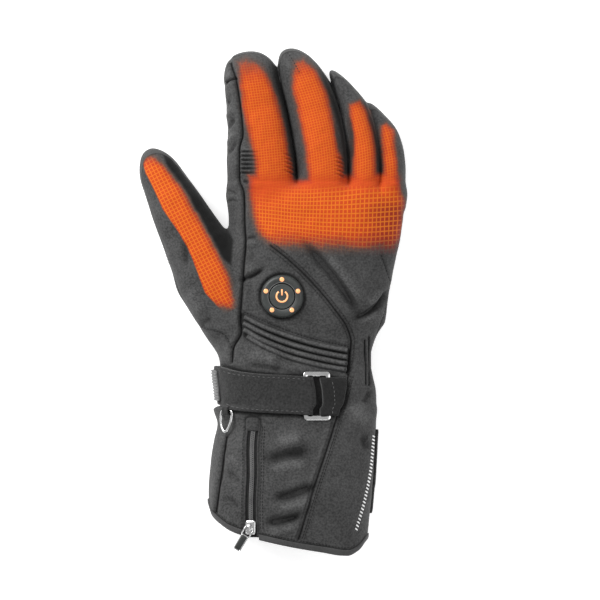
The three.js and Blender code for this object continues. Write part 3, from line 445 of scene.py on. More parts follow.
def skin(y, angle, grow=0.0):
    """The point at an angle round the section, moved out by grow."""
    centre, half, top, lift = section(y)
    across = squared(np.cos(angle), SQUARENESS)
    rise = squared(np.sin(angle), SQUARENESS)
    belt = lerp(lift, top, BELT)
    reach = np.where(rise > 0, (top - belt) * (1 - TILT * across), belt - lift + TABLE_SINK)
    x = centre + across * (half + grow)
    z = np.maximum(belt + rise * (reach + grow), lift)
    return np.stack(np.broadcast_arrays(x, y, z), axis=-1)


def angle_at(across):
    return np.arccos(np.clip(squared(across, 4 / SQUARENESS), -1, 1))


def over(points, grow=0.0):
    """Plan places put on the back, at a height over it."""
    p = np.asarray(points, float)
    centre, half, _, _ = section(p[..., 1])
    return skin(p[..., 1], angle_at((p[..., 0] - centre) / half), grow)


class Frame:
    """A frame on the back: z out of the cloth and y along the glove."""

    def __init__(self, across, y, reach=0.02 * CUFF_LENGTH):
        def on(a, along):
            return skin(along, angle_at(a))

        self.origin = on(across, y)
        wide = on(across + 0.02, y) - on(across - 0.02, y)
        long = on(across, y + reach) - on(across, y - reach)
        out = np.cross(wide, long)
        self.z = out / np.linalg.norm(out)
        side = np.cross((0, 1, 0), self.z)
        self.x = side / np.linalg.norm(side)
        self.y = np.cross(self.z, self.x)

    def turned(self, degrees):
        made = Frame.__new__(Frame)
        c, s = math.cos(math.radians(degrees)), math.sin(math.radians(degrees))
        made.origin, made.z = self.origin, self.z
        made.x = c * self.x + s * self.y
        made.y = -s * self.x + c * self.y
        return made

    def lifted(self, height):
        made = self.turned(0)
        made.origin = self.origin + height * self.z
        return made

    def out(self, points):
        p = np.asarray(points, float)
        return self.origin + p[..., :1] * self.x + p[..., 1:2] * self.y + p[..., 2:3] * self.z


# The shell as a distance field on a grid

low_corner = np.array([-112.0, -132.0, -6.0])
high_corner = np.array([84.0, 220.0, 76.0])
counts = np.ceil((high_corner - low_corner) / VOXEL).astype(int)
axes = [low_corner[i] + VOXEL * np.arange(counts[i]) for i in range(3)]


def to_distance(level):
    """Turns a size ratio into a distance, to first order."""
    slopes = np.gradient(level, VOXEL)
    steep = np.sqrt(sum(s * s for s in slopes))
    return np.clip((level - 1) / np.maximum(steep, 1e-3), -FIELD_LIMIT, FIELD_LIMIT)


def body_field():
    x, y, z = axes[0][:, None, None], axes[1], axes[2][None, None, :]
    centre, half, top, lift = [v[None, :, None] for v in section(y)]
    belt = lerp(lift, top, BELT)
    across = (x - centre) / half
    up = (top - belt) * (1 - TILT * np.clip(across, -1.1, 1.1))
    height = z - belt
    rise = np.where(height > 0, height / up, -height / (belt - lift + TABLE_SINK))
    level = (np.abs(across) ** SQUARENESS + rise ** SQUARENESS) ** (1 / SQUARENESS)
    field = to_distance(level)
    return smooth_max(field, y[None, :, None] - HAND_LENGTH * 0.99, 8)


class Stall:
    def __init__(self, name, across, along, lean, length, width, depth, bow, tip, rows):
        self.name, self.length, self.width, self.depth = name, length, width, depth
        self.bow, self.tip = bow, tip
        self.width_at, self.top_at = columns(rows)
        self.start = rows[0, 0]
        y = along * HAND_LENGTH
        self.root = np.array([place(across, y), y])
        turn = math.radians(lean)
        self.forward = np.array([-math.sin(turn), math.cos(turn)])
        self.side = np.array([math.cos(turn), math.sin(turn)])

    def local(self, x, y):
        """Share along the stall, and place across it in millimetres."""
        dx, dy = x - self.root[0], y - self.root[1]
        a = (dx * self.forward[0] + dy * self.forward[1]) / self.length
        bend = self.bow * self.length * 4 * a * (1 - a)
        t = dx * self.side[0] + dy * self.side[1] - np.where(a > 0, bend, 0)
        return a, t

    def field(self):
        ends = np.array([self.root + self.forward * self.length * s for s in (self.start, 0.5, 1)])
        room = self.width + 12
        lo = np.append(ends.min(axis=0) - room, low_corner[2])
        hi = np.append(ends.max(axis=0) + room, high_corner[2])
        first = np.clip(((lo - low_corner) / VOXEL).astype(int), 0, counts)
        last = np.clip(((hi - low_corner) / VOXEL).astype(int), 0, counts)
        x, y, z = [axes[i][first[i]:last[i]] for i in range(3)]
        a, t = self.local(x[:, None, None], y[None, :, None])
        half = self.width_at(a) * self.width / 2
        top = self.top_at(a) * self.depth
        belt = BELT * top
        height = z[None, None, :] - belt
        rise = np.where(height > 0, height / (top - belt), -height / (belt + TABLE_SINK))
        ahead = np.maximum(0, (a - 1 + self.tip) / self.tip)
        power = FINGER_SQUARENESS
        level = (np.abs(t / half) ** power + rise ** power + ahead ** power) ** (1 / power)
        part = smooth_max(to_distance(level), (self.start - a) * self.length, 3)
        whole = np.full(tuple(counts), FIELD_LIMIT)
        whole[first[0]:last[0], first[1]:last[1], first[2]:last[2]] = part
        return whole


def sample(field, points):
    """Value of a grid at points, between its nodes."""
    p = (points - low_corner) / VOXEL
    i = np.clip(np.floor(p).astype(int), 0, counts - 2)
    f = p - i
    total = np.zeros(len(points))
    for dx in (0, 1):
        for dy in (0, 1):
            for dz in (0, 1):
                weight = np.abs(1 - dx - f[:, 0]) * np.abs(1 - dy - f[:, 1])
                weight = weight * np.abs(1 - dz - f[:, 2])
                total += weight * field[i[:, 0] + dx, i[:, 1] + dy, i[:, 2] + dz]
    return total


def slope(field, points):
    step = 0.8
    parts = []
    for axis in range(3):
        move = np.zeros(3)
        move[axis] = step
        parts.append((sample(field, points + move) - sample(field, points - move)) / (2 * step))
    return np.stack(parts, axis=1)


stalls = [Stall(*facts) for facts in STALLS]
fields = {s.name: s.field() for s in stalls}
fields["body"] = body_field()

# Neighbouring fingers are drawn in where they meet, above the sides of the hand
fingers = fields["index_finger"]
high_up = smoothstep(12, 26, axes[2])[None, None, :]
for before, after in zip(stalls[:3], stalls[1:4]):
    crease = fields[after.name] - fields[before.name]
    near = smoothstep(6, 1, np.abs(fields[after.name]))
    drawn_in = CREASE_DEPTH * high_up * near * bell(crease, STALL_BLEND)
    fingers = smooth_min(fingers, fields[after.name], STALL_BLEND) + drawn_in
shell = smooth_min(fields["body"], fingers, HAND_BLEND)
shell = smooth_min(shell, fields["thumb"], THUMB_BLEND)
lining_field = shell.copy()
shell = smooth_max(shell, -axes[2][None, None, :], BASE_BLEND)


def extract(field, step=1):
    """Points and four-sided faces of the surface where the field is zero."""
    grid = openvdb.FloatGrid(FIELD_LIMIT)
    grid.copyFromArray(np.ascontiguousarray(field[::step, ::step, ::step].astype(np.float32)))
    points, faces = grid.convertToQuads(0.0)
    points = points.astype(float) * VOXEL * step + low_corner
    faces = faces.astype(int)
    room = 2.5 * VOXEL * step
    far_corner = low_corner + VOXEL * counts
    within = np.all((points > low_corner + room) & (points < far_corner - room), axis=1)
    used, index = np.unique(faces[within[faces].all(axis=1)], return_inverse=True)
    return points[used], index.reshape(-1, 4)


def project(field, points, rounds=3):
    for _ in range(rounds):
        g = slope(field, points)
        size = np.maximum(np.sum(g * g, axis=1), 0.05)
        points = points - (sample(field, points) / size)[:, None] * g
    return points


def face_crosses(verts, quads):
    """Normals of four-sided faces, twice as long as the faces are large."""
    diagonals = verts[quads[:, 2:]] - verts[quads[:, :2]]
    return np.cross(diagonals[:, 0], diagonals[:, 1])


points, faces = extract(shell)
points = project(shell, points)
outward = slope(shell, points[faces].mean(axis=1))
if np.sum(face_crosses(points, faces) * outward) < 0:
    faces = faces[:, ::-1]


# Lines in plan


def resample(line, step):
    """Even points along a smooth line through the given ones."""
    line = np.asarray(line, float)
    run = np.concatenate([[0], np.cumsum(np.linalg.norm(np.diff(line, axis=0), axis=1))])
    count = max(2, int(round(run[-1] / step)) + 1)
    at = np.linspace(0, run[-1], count)
    return np.stack([curve(run, line[:, i])(at) for i in range(line.shape[1])], axis=1)


def line_distance(places, line, reach=12):
    """Distance to a line in plan, and the share along the line."""
    best = np.full(len(places), np.inf)
    share = np.zeros(len(places))
    lo, hi = line.min(axis=0) - reach, line.max(axis=0) + reach
    near = np.flatnonzero(np.all((places > lo) & (places < hi), axis=1))
    p = places[near]
    d_best = np.full(len(near), np.inf)
    a_best = np.zeros(len(near))
    for i in range(len(line) - 1):
        a, b = line[i], line[i + 1]
        ab = b - a
        t = np.clip(((p - a) @ ab) / (ab @ ab), 0, 1)
        off = p - a - t[:, None] * ab
        d = np.hypot(off[:, 0], off[:, 1])
        closer = d < d_best
        d_best[closer] = d[closer]
        a_best[closer] = ((i + t) / (len(line) - 1))[closer]
    best[near], share[near] = d_best, a_best
    return best, share


def inside_outline(places, outline):
    """Distance inside an outline, negative outside."""
    closed = np.vstack([outline, outline[:1]])
    d, _ = line_distance(places, closed, reach=30)
    x, y = places[:, 0], places[:, 1]
    odd = np.zeros(len(places), bool)
    for (x0, y0), (x1, y1) in zip(closed[:-1], closed[1:]):
        if y0 != y1:
            crosses = (y0 > y) != (y1 > y)
            odd ^= crosses & (x < (x1 - x0) * (y - y0) / (y1 - y0) + x0)
    return np.where(odd, d, -d)


def value_noise(places, size, seed):
    """Smooth random heights from -1 to 1, with bumps of about this size."""
    table = np.random.default_rng(seed).uniform(-1, 1, (64, 64))
    p = places / size + 500.0
    i = np.floor(p).astype(int)
    f = p - i
    f = f * f * (3 - 2 * f)
    total = 0
    for dx in (0, 1):
        for dy in (0, 1):
            weight = np.abs(1 - dx - f[:, 0]) * np.abs(1 - dy - f[:, 1])
            total = total + weight * table[(i[:, 0] + dx) % 64, (i[:, 1] + dy) % 64]
    return total


seams = {name: resample(photo(facts[-1]), LINE_STEP) for name, facts in SEAMS.items()}
zip_across = curve(ZIP_ROWS[:, 0], ZIP_ROWS[:, 1])


def zip_place(along):
    y = -np.asarray(along, float) * CUFF_LENGTH
    return np.stack([place(zip_across(along), y), y], axis=-1)


def zip_x_at(y, first=ZIP_START):
    """Where the middle of the zip lies across, at places along the glove."""
    return zip_place(np.clip(-y / CUFF_LENGTH, first, 1.05))[:, 0]


hem_across = curve(HEM_ROWS[:, 0], HEM_ROWS[:, 1])
hem_samples = np.linspace(-1.2, 1.2, 200)
hem_y = -hem_across(hem_samples) * CUFF_LENGTH
hem_x = place(hem_samples, hem_y)


def hem_height(x):
    return np.interp(x, hem_x, hem_y)


strap_along = curve(STRAP_ROWS[:, 0], STRAP_ROWS[:, 1])
strap_shares = np.linspace(-1.0, 0.36, 60)
strap_y = -strap_along(strap_shares) * CUFF_LENGTH
strap_line = np.stack([place(strap_shares, strap_y), strap_y], axis=1)
button_y = BUTTON_PLACE[1] * HAND_LENGTH
button_middle = np.array([place(BUTTON_PLACE[0], button_y), button_y])


def dome(d, half):
    return np.sqrt(np.maximum(0, 1 - (d / half) ** 2))


def relief(p, normal):
    """How far the cloth stands out at points of the shell, and its painted shade and highlight there."""
    plan = p[:, :2]
    facing = smoothstep(-0.15, 0.45, normal[:, 2])
    turned = plan @ np.array([[0.8, -0.6], [0.6, 0.8]])
    out = 0.42 * value_noise(plan, 14, 1) + 0.26 * value_noise(plan, 7, 2)
    out += 0.14 * value_noise(turned, 3.6, 3)
    # Painted shade gathered in grooves, creases and beside the trims, and painted highlight on crests
    painted_shading = np.zeros(len(p))
    light = np.zeros(len(p))
    for name, (depth, width, puff, _) in SEAMS.items():
        d, share = line_distance(plan, seams[name])
        ends = smoothstep(0, 0.02, share) * smoothstep(1, 0.98, share)
        out += puff * bell(d, 1.9, 2.6) * ends
        out -= depth * bell(d, width)
        # Painted shade along the seam's groove; for the sweep and cuff seams also a darker line 2.2 mm
        # to each side
        painted_shading = np.maximum(painted_shading, 0.75 * min(1, depth) * bell(d, 1.1))
        if name in ("sweep", "cuff"):
            painted_shading = np.maximum(painted_shading, 0.55 * bell(d, 0.5, 2.2) * ends)
    for height, width, line in FOLDS:
        d, share = line_distance(plan, resample(photo(line), 2.0), reach=3 * width)
        taper = smoothstep(-0.05, 0.3, share) * smoothstep(1.05, 0.7, share)
        form = taper * bell(d, width)
        out += FOLD_GAIN * height * form
        # Painted shade in the hollow of a fold, painted highlight on a crest
        if height < 0:
            painted_shading = painted_shading + FOLD_SHADE * min(1, -height / 2) * form
        else:
            light = light + 0.9 * min(1, height / 1.3) * form
    ribs = np.zeros(len(p))
    for rib in WRIST_RIBS:
        d, share = line_distance(plan, resample(photo(rib), LINE_STEP))
        taper = smoothstep(0.0, 0.03, share) * smoothstep(1.0, 0.98, share)
        ribs = np.maximum(ribs, taper * dome(d, RIB_PITCH * 0.46))
    band = np.vstack([photo(WRIST_RIBS[0]), photo(WRIST_RIBS[3])[::-1]])
    in_band = smoothstep(-2.6, -1.2, inside_outline(plan, band))
    out += in_band * (RIB_HEIGHT * ribs - 1.0)
    # Painted shade between the wrist ribs, painted highlight on their crests
    painted_shading = np.maximum(painted_shading, in_band * smoothstep(0.98, 0.5, ribs))
    light = np.maximum(light, 0.8 * in_band * smoothstep(0.75, 1.0, ribs))
    for crease in KNUCKLE_CREASES:
        d, share = line_distance(plan, resample(photo(crease), LINE_STEP), reach=5)
        taper = smoothstep(0.0, 0.25, share) * smoothstep(1.0, 0.3, share)
        out += taper * (0.5 * bell(d, 0.7, 1.35) - 1.1 * bell(d, 0.7))
        # Painted shade in each knuckle crease, stronger on the index side
        strength = 0.8 if crease[0][0] < 250 else 0.4
        painted_shading = np.maximum(painted_shading, strength * taper * bell(d, 0.7))
    for line in VALLEYS:
        d, share = line_distance(plan, resample(photo(line), 2.0), reach=9)
        taper = smoothstep(1.0, 0.9, share)
        # Painted shade in the valleys between the fingers
        painted_shading = np.maximum(painted_shading, taper * (0.7 * bell(d, 1.9) + 0.3 * bell(d, 5)))
        out = out * (1 - taper * bell(d, 3.0))
    d, _ = line_distance(plan, strap_line, reach=30)
    under_strap = smoothstep(STRAP_WIDTH / 2 + 1.5, STRAP_WIDTH / 2 - 1.5, d)
    out = lerp(out, -0.5, under_strap)
    beside_strap = (1 - under_strap) * bell(d - STRAP_WIDTH / 2, 2.5, 4)
    out += 0.8 * beside_strap
    # Painted shadow of the strap, under it and just past its edges
    painted_shading = np.maximum(painted_shading, 0.8 * smoothstep(STRAP_WIDTH / 2 + 2.2, STRAP_WIDTH / 2 + 0.2, d))
    from_button = np.hypot(*(plan - button_middle).T)
    under_button = smoothstep(BUTTON_RADIUS + 0.5, BUTTON_RADIUS - 1.5, from_button)
    out = lerp(out, -0.3, under_button)
    out -= 0.9 * bell(from_button - BUTTON_RADIUS, 0.8, 0.4)
    out += 0.6 * bell(from_button - BUTTON_RADIUS, 2, 3)
    # Painted shade round the button's edge
    painted_shading = np.maximum(painted_shading, 0.8 * bell(from_button, 1.3, BUTTON_RADIUS))
    along = -plan[:, 1] / CUFF_LENGTH
    beside_zip = np.abs(plan[:, 0] - zip_x_at(plan[:, 1], 0.2))
    near_zip = smoothstep(9, 6.5, beside_zip) * smoothstep(0.26, 0.3, along)
    out = lerp(out, 0.15, near_zip)
    # Painted shade beside the zip
    painted_shading = np.maximum(painted_shading, 0.5 * smoothstep(6.5, 4.5, beside_zip) * smoothstep(0.27, 0.3, along))
    above_hem = plan[:, 1] - hem_height(plan[:, 0])
    # Painted shade just above the hem binding
    painted_shading = np.maximum(painted_shading, 0.85 * bell(above_hem, 1.1, BINDING_LENGTH))
    from_garage = np.abs(plan - zip_place(GARAGE_ALONG)) / (GARAGE_WIDTH / 2, GARAGE_LENGTH / 2)
    rim = (from_garage ** 4).sum(axis=1) ** 0.25
    # Painted shadow round the zip garage
    painted_shading = np.maximum(painted_shading, 0.8 * smoothstep(1.35, 1.05, rim))
    # Painted shading: painted shade, less painted highlight where little shade is painted
    shade = np.clip(painted_shading, 0, 1) - np.clip(light, 0, 1) * (painted_shading < 0.3)
    return out * facing, shade * facing


# Where the shell is cut: at the seam round its side, at the hem and at the zip

zip_half = SLOT_WIDTH / 2
hem_edge = BINDING_LENGTH * 0.6


def share_edge(kept, other):
    """Points that faces of both kinds share."""
    a = np.zeros(len(points), bool)
    b = np.zeros(len(points), bool)
    a[faces[kept]] = True
    b[faces[other]] = True
    return a & b


pins = np.zeros(len(points), int)
middles = points[faces].mean(axis=1)
upper = middles[:, 2] > SEAM_HEIGHT
snap = share_edge(upper, ~upper)
points[snap, 2] = SEAM_HEIGHT
for _ in range(2):
    g = slope(shell, points[snap])
    g[:, 2] = 0
    size = np.maximum(np.sum(g * g, axis=1), 0.05)
    points[snap] -= (sample(shell, points[snap]) / size)[:, None] * g
pins[snap] |= SEAM_PIN

past_hem = middles[:, 1] < hem_height(middles[:, 0]) + hem_edge
snap = share_edge(past_hem, ~past_hem)
points[snap, 1] = hem_height(points[snap, 0]) + hem_edge
pins[snap] |= HEM_PIN

off_zip = middles[:, 0] - zip_x_at(middles[:, 1])
in_slot = (np.abs(off_zip) < zip_half) & (-middles[:, 1] / CUFF_LENGTH > ZIP_START) & upper
snap = share_edge(in_slot, ~in_slot) & (points[:, 1] < -ZIP_START * CUFF_LENGTH - 0.7)
zip_x = zip_x_at(points[snap, 1])
points[snap, 0] = zip_x + np.sign(points[snap, 0] - zip_x) * zip_half
pins[snap] |= ZIP_PIN

kept = ~(past_hem | in_slot)
points_by_part = np.stack([sample(fields[name], points) for name in ["body"] + [s.name for s in stalls]])
face_label = np.argmin(points_by_part[:, faces].mean(axis=2), axis=0)


def displaced(points):
    normals = slope(shell, points)
    normals /= np.maximum(np.linalg.norm(normals, axis=1, keepdims=True), 1e-6)
    height, painted_shading = relief(points, normals)
    moved = points + height[:, None] * normals
    moved[:, 2] = np.maximum(moved[:, 2], 0)
    return moved, normals, painted_shading


def divide(points, faces, pins):
    """Splits each face in four. Where both ends of an edge are pinned its middle is too."""
    ends = np.sort(np.stack([faces, np.roll(faces, -1, axis=1)], axis=2).reshape(-1, 2), axis=1)
    edges, index = np.unique(ends, axis=0, return_inverse=True)
    index = index.reshape(-1, 4) + len(points)
    centre = np.arange(len(faces)) + len(points) + len(edges)
    quads = []
    for i in range(4):
        quads.append(np.stack([faces[:, i], index[:, i], centre, index[:, i - 1]], axis=1))
    shared = pins[edges[:, 0]] & pins[edges[:, 1]]
    halves = points[edges].mean(axis=1)
    free = shared == 0
    halves[free] = project(shell, halves[free])
    inner = project(shell, points[faces].mean(axis=1))
    new_points = np.concatenate([points, halves, inner])
    return new_points, np.concatenate(quads), edges, shared


def point_normals(verts, quads):
    across = face_crosses(verts, quads)
    total = np.zeros_like(verts)
    for i in range(4):
        np.add.at(total, quads[:, i], across)
    return total / np.maximum(np.linalg.norm(total, axis=1, keepdims=True), 1e-9)


moved, _, _ = displaced(points)
shell_normals = point_normals(moved, faces)
fine_faces = np.flatnonzero(kept & upper)
fine_used, fine_index = np.unique(faces[fine_faces], return_inverse=True)
fine_points, fine_quads, fine_edges, fine_shared = divide(
    points[fine_used], fine_index.reshape(-1, 4), pins[fine_used])
fine_moved, fine_normals, fine_painted_shading = displaced(fine_points)
seam_edges = np.flatnonzero(fine_shared & SEAM_PIN)
seam_mid = seam_edges + len(fine_used)
seam_ends = fine_edges[seam_edges]
fine_moved[seam_mid] = fine_moved[seam_ends].mean(axis=1)
fine_label = np.tile(face_label[fine_faces], 4)
fine_on_cuff = np.tile(middles[fine_faces, 1] < 0, 4)
fine_shading = point_normals(fine_moved, fine_quads)
on_seam = np.flatnonzero(fine_points[:len(fine_used), 2] == SEAM_HEIGHT)
fine_shading[on_seam] = shell_normals[fine_used[on_seam]]
fine_shading[seam_mid] = fine_shading[seam_ends].mean(axis=1)
surface = BVHTree.FromPolygons(fine_moved.tolist(), fine_quads.tolist())


def drop(places, lift=0.0):
    """Plan places dropped on the finished shell, with the normal there."""
    spots, ups = [], []
    for x, y in places:
        hit, normal, _, _ = surface.ray_cast(Vector((x, y, 150)), Vector((0, 0, -1)))
        if hit is None:
            continue
        if normal.z < 0:
            normal = -normal
        spots.append(np.array(hit) + lift * np.array(normal))
        ups.append(np.array(normal))
    return np.array(spots), np.array(ups)


# Materials

CLOTH_TONE = 0.047
# Strength of the painted glow of the heated print
PAINTED_GLOW = 0.16
# Share of heat, colour of the cells between the threads and of the threads
CELL_RAMP = [
    (0.0, (0.05, 0.046, 0.044)), (0.3, (0.11, 0.044, 0.034)), (0.55, (0.26, 0.034, 0.016)),
    (0.8, (0.37, 0.033, 0.007)), (1.0, (0.43, 0.046, 0.005)),
]
THREAD_RAMP = [
    (0.0, (0.07, 0.056, 0.045)), (0.3, (0.16, 0.075, 0.038)), (0.55, (0.33, 0.088, 0.022)),
    (0.8, (0.50, 0.112, 0.010)), (1.0, (0.58, 0.145, 0.008)),
]


class Graph:
    """A material whose nodes are added one by one."""

    def __init__(self, name):
        self.material = bpy.data.materials.new(name)
        self.material.use_nodes = True
        self.tree = self.material.node_tree
        self.shader = self.tree.nodes["Principled BSDF"]

    def node(self, kind, sockets=None, **settings):
        made = self.tree.nodes.new(kind)
        for key, value in settings.items():
            setattr(made, key, value)
        for key, value in (sockets or {}).items():
            self.put(made.inputs[key], value)
        return made

    def put(self, socket, value):
        if isinstance(value, bpy.types.NodeSocket):
            self.tree.links.new(value, socket)
        else:
            socket.default_value = value

    def math(self, operation, a, b=0.0, c=0.0, clamp=False):
        made = self.node("ShaderNodeMath", operation=operation, use_clamp=clamp)
        for i, value in enumerate((a, b, c)):
            self.put(made.inputs[i], value)
        return made.outputs[0]

    def mix(self, share, a, b, blend="MIX"):
        made = self.node("ShaderNodeMix", data_type="RGBA", blend_type=blend)
        self.put(made.inputs[0], share)
        self.put(made.inputs[6], a)
        self.put(made.inputs[7], b)
        return made.outputs[2]

    def noise(self, scale, detail=2.0, roughness=0.5, distortion=0.0, stretch=None):
        coordinates = self.node("ShaderNodeTexCoord").outputs["Object"]
        if stretch:
            mapping = self.node("ShaderNodeMapping", {"Vector": coordinates, "Scale": stretch})
            coordinates = mapping.outputs[0]
        made = self.node("ShaderNodeTexNoise", {
            "Vector": coordinates, "Scale": scale, "Detail": detail,
            "Roughness": roughness, "Distortion": distortion,
        })
        return made.outputs[0]

    def span(self, value, low, high, to_low=0.0, to_high=1.0):
        made = self.node("ShaderNodeMapRange", {0: value, 1: low, 2: high, 3: to_low, 4: to_high})
        return made.outputs[0]

    def attribute(self, name, output="Fac"):
        return self.node("ShaderNodeAttribute", attribute_name=name).outputs[output]

    def bump(self, height, distance, strength=1.0, under=None):
        sockets = {"Height": height, "Distance": distance, "Strength": strength}
        if under is not None:
            sockets["Normal"] = under
        return self.node("ShaderNodeBump", sockets).outputs[0]

    def finish(self, **values):
        for key, value in values.items():
            self.put(self.shader.inputs[key.replace("_", " ")], value)
        return self.material


def tone(value):
    return (value, value, value, 1)


def tinted(value, green):
    return (value, value * (1 + green), value * (1 + green * 0.6), 1)


def cloth_material(name, base, grain=0.35, sheen=0.06):
    g = Graph(name)
    fibres = g.noise(2600, 3, 0.65)
    flecks = g.noise(760, 2, 0.6)
    clouds = g.noise(55, 3, 0.5)
    spots = g.span(flecks, 0.36, 0.64, -grain, grain)
    shade = g.math("ADD", spots, g.span(clouds, 0.3, 0.7, -0.2, 0.2))
    colour = g.mix(g.span(shade, -0.5, 0.5), tone(base * 0.55), tone(base * 1.5))
    weave = g.bump(fibres, 0.00022, 0.7)
    crumple = g.bump(g.noise(230, 3, 0.5, 0.4), 0.0005, 0.5, weave)
    g.finish(Base_Color=colour, Roughness=0.86, Normal=crumple)
    g.finish(Sheen_Weight=sheen, Sheen_Roughness=0.5, Specular_IOR_Level=0.2)
    return g


def ramp(g, value, stops):
    made = g.node("ShaderNodeValToRGB", {"Fac": value})
    elements = made.color_ramp.elements
    while len(elements) < len(stops):
        elements.new(0.5)
    for element, (position, colour) in zip(elements, stops):
        element.position = position
        element.color = (*colour, 1)
    return made.outputs[0]


def heated(g):
    """Adds the heated zones with a painted glow, the leather of the thumb, and the painted shade and
    highlight of creases and crests to a cloth.
    """
    colour = g.shader.inputs["Base Color"].links[0].from_socket
    # Painted shading from the shade mask: above zero it darkens as painted shade, below zero it lightens
    # as painted highlight
    shade = g.attribute("shade")
    painted_highlight_gain = g.math("MULTIPLY_ADD", g.math("MINIMUM", shade, 0.0), -0.55, 1.0)
    painted_shade_gain = g.math("MULTIPLY_ADD", g.math("MAXIMUM", shade, 0.0), -0.86, 1.0)
    painted_shading_factor = g.math("MULTIPLY", painted_highlight_gain, painted_shade_gain)
    heat = g.attribute("warmth")
    mottle = g.span(g.noise(520, 3, 0.6), 0.3, 0.7, -0.08, 0.08)
    level = g.math("ADD", heat, g.math("MULTIPLY", mottle, g.span(heat, 0.0, 0.3)), clamp=True)
    near_u = g.math("PINGPONG", g.attribute("grid_u"), 0.5)
    near_v = g.math("PINGPONG", g.attribute("grid_v"), 0.5)
    line_u = g.span(near_u, 0.19, 0.05)
    line_v = g.span(near_v, 0.19, 0.05)
    crossing = g.math("MAXIMUM", line_u, line_v)
    cells = ramp(g, level, CELL_RAMP)
    threads = ramp(g, level, THREAD_RAMP)
    cells = g.mix(g.math("MULTIPLY", g.attribute("cell_dark"), 0.8), cells, (0.20, 0.014, 0.006, 1))
    hot = g.mix(g.math("MULTIPLY", crossing, g.attribute("lines")), cells, threads)
    reach = g.span(level, 0.0, 0.5)
    colour = g.mix(reach, colour, hot)
    colour = g.mix(g.attribute("leather"), colour, tone(0.004))
    # The painted shading is multiplied into the colour
    painted_shading = g.node("ShaderNodeCombineColor", {0: painted_shading_factor, 1: painted_shading_factor, 2: painted_shading_factor}).outputs[0]
    colour = g.mix(1.0, colour, painted_shading, "MULTIPLY")
    # Painted glow: the hot print gives off light of its own colour, though it is no lamp
    painted_glow = g.math("MULTIPLY", g.span(level, 0.35, 1.0, 0.0, PAINTED_GLOW), painted_shading_factor)
    g.finish(Base_Color=colour, Emission_Color=colour, Emission_Strength=painted_glow)
    return g


def leather_material(name, base):
    g = Graph(name)
    cells = g.node("ShaderNodeTexVoronoi", {
        "Vector": g.node("ShaderNodeTexCoord").outputs["Object"], "Scale": 1100.0,
    })
    cells.feature = "DISTANCE_TO_EDGE"
    grain = g.bump(g.span(cells.outputs[0], 0.0, 0.25), 0.00018, 0.6)
    creases = g.bump(g.noise(160, 4, 0.55, 0.6), 0.0006, 0.5, grain)
    wear = g.noise(70, 3, 0.6)
    colour = g.mix(g.span(wear, 0.3, 0.75), tone(base * 0.7), tone(base * 1.6))
    g.finish(Base_Color=colour, Roughness=g.span(wear, 0.3, 0.7, 0.48, 0.66), Normal=creases)
    return g


def webbing_material(name, base, pitch=1.0):
    g = Graph(name)
    place_of = g.node("ShaderNodeTexCoord").outputs["Object"]
    parts = g.node("ShaderNodeSeparateXYZ", {0: place_of})
    rows = g.math("SINE", g.math("MULTIPLY", parts.outputs[1], 2 * math.pi / (0.001 * pitch)))
    ends = g.math("SINE", g.math("MULTIPLY", parts.outputs[0], 2 * math.pi / (0.0014 * pitch)))
    weave = g.math("MULTIPLY", rows, ends)
    fuzz = g.noise(2200, 3, 0.7)
    height = g.math("ADD", g.math("MULTIPLY", weave, 0.25), fuzz)
    colour = g.mix(g.span(g.noise(700, 3, 0.6), 0.3, 0.7), tone(base * 0.55), tone(base * 1.6))
    g.finish(Base_Color=colour, Roughness=0.92, Normal=g.bump(height, 0.00025, 0.8))
    g.finish(Sheen_Weight=0.15, Specular_IOR_Level=0.2)
    return g


def metal_material(name, base=0.62, roughness=0.16):
    g = Graph(name)
    scratches = g.noise(900, 2, 0.5, 0.0, (1.0, 6.0, 1.0))
    patches = g.noise(260, 2, 0.5)
    worn = g.span(scratches, 0.3, 0.7, roughness * 0.7, roughness * 1.4)
    rough = g.math("ADD", worn, g.span(patches, 0.4, 0.7, 0, 0.06))
    colour = g.mix(g.span(patches, 0.3, 0.7), tone(base * 0.92), tone(base * 1.08))
    g.finish(Base_Color=colour, Roughness=rough, Normal=g.bump(scratches, 0.00003, 0.4))
    g.finish(Metallic=1.0)
    return g


def rubber_material(name, base, roughness=0.5, green=0.12):
    g = Graph(name)
    speckle = g.noise(1800, 2, 0.5)
    dust = g.noise(120, 3, 0.6)
    colour = g.mix(g.span(dust, 0.35, 0.75), tinted(base * 0.8, green), tinted(base * 1.3, green))
    g.finish(Base_Color=colour, Roughness=g.span(dust, 0.3, 0.7, roughness * 0.85, roughness * 1.15))
    g.finish(Normal=g.bump(speckle, 0.00006, 0.4))
    return g


def lamp_material(name, colour, strength):
    g = Graph(name)
    brighter = tuple(min(1, c * 1.15) for c in colour[:3]) + (1,)
    g.finish(Base_Color=g.mix(g.span(g.noise(500, 2), 0.3, 0.7), colour, brighter))
    g.finish(Roughness=0.35, Emission_Color=colour, Emission_Strength=strength, Coat_Weight=0.3)
    return g


cloth = heated(cloth_material("softshell", CLOTH_TONE)).material
plain_cloth = cloth_material("softshell_plain", CLOTH_TONE * 0.8).material
side_cloth = cloth_material("softshell_dark", 0.045).material
palm_leather = leather_material("palm_leather", 0.018).material
lining_cloth = cloth_material("fleece_lining", 0.02, 0.5, 0.5).material
webbing = webbing_material("strap_webbing", 0.022).material
dark_webbing = webbing_material("anchor_webbing", 0.011).material
tape_webbing = webbing_material("zip_tape_weave", 0.012, 0.7).material
binding_cloth = cloth_material("binding_knit", 0.05, 0.12, 0.15).material
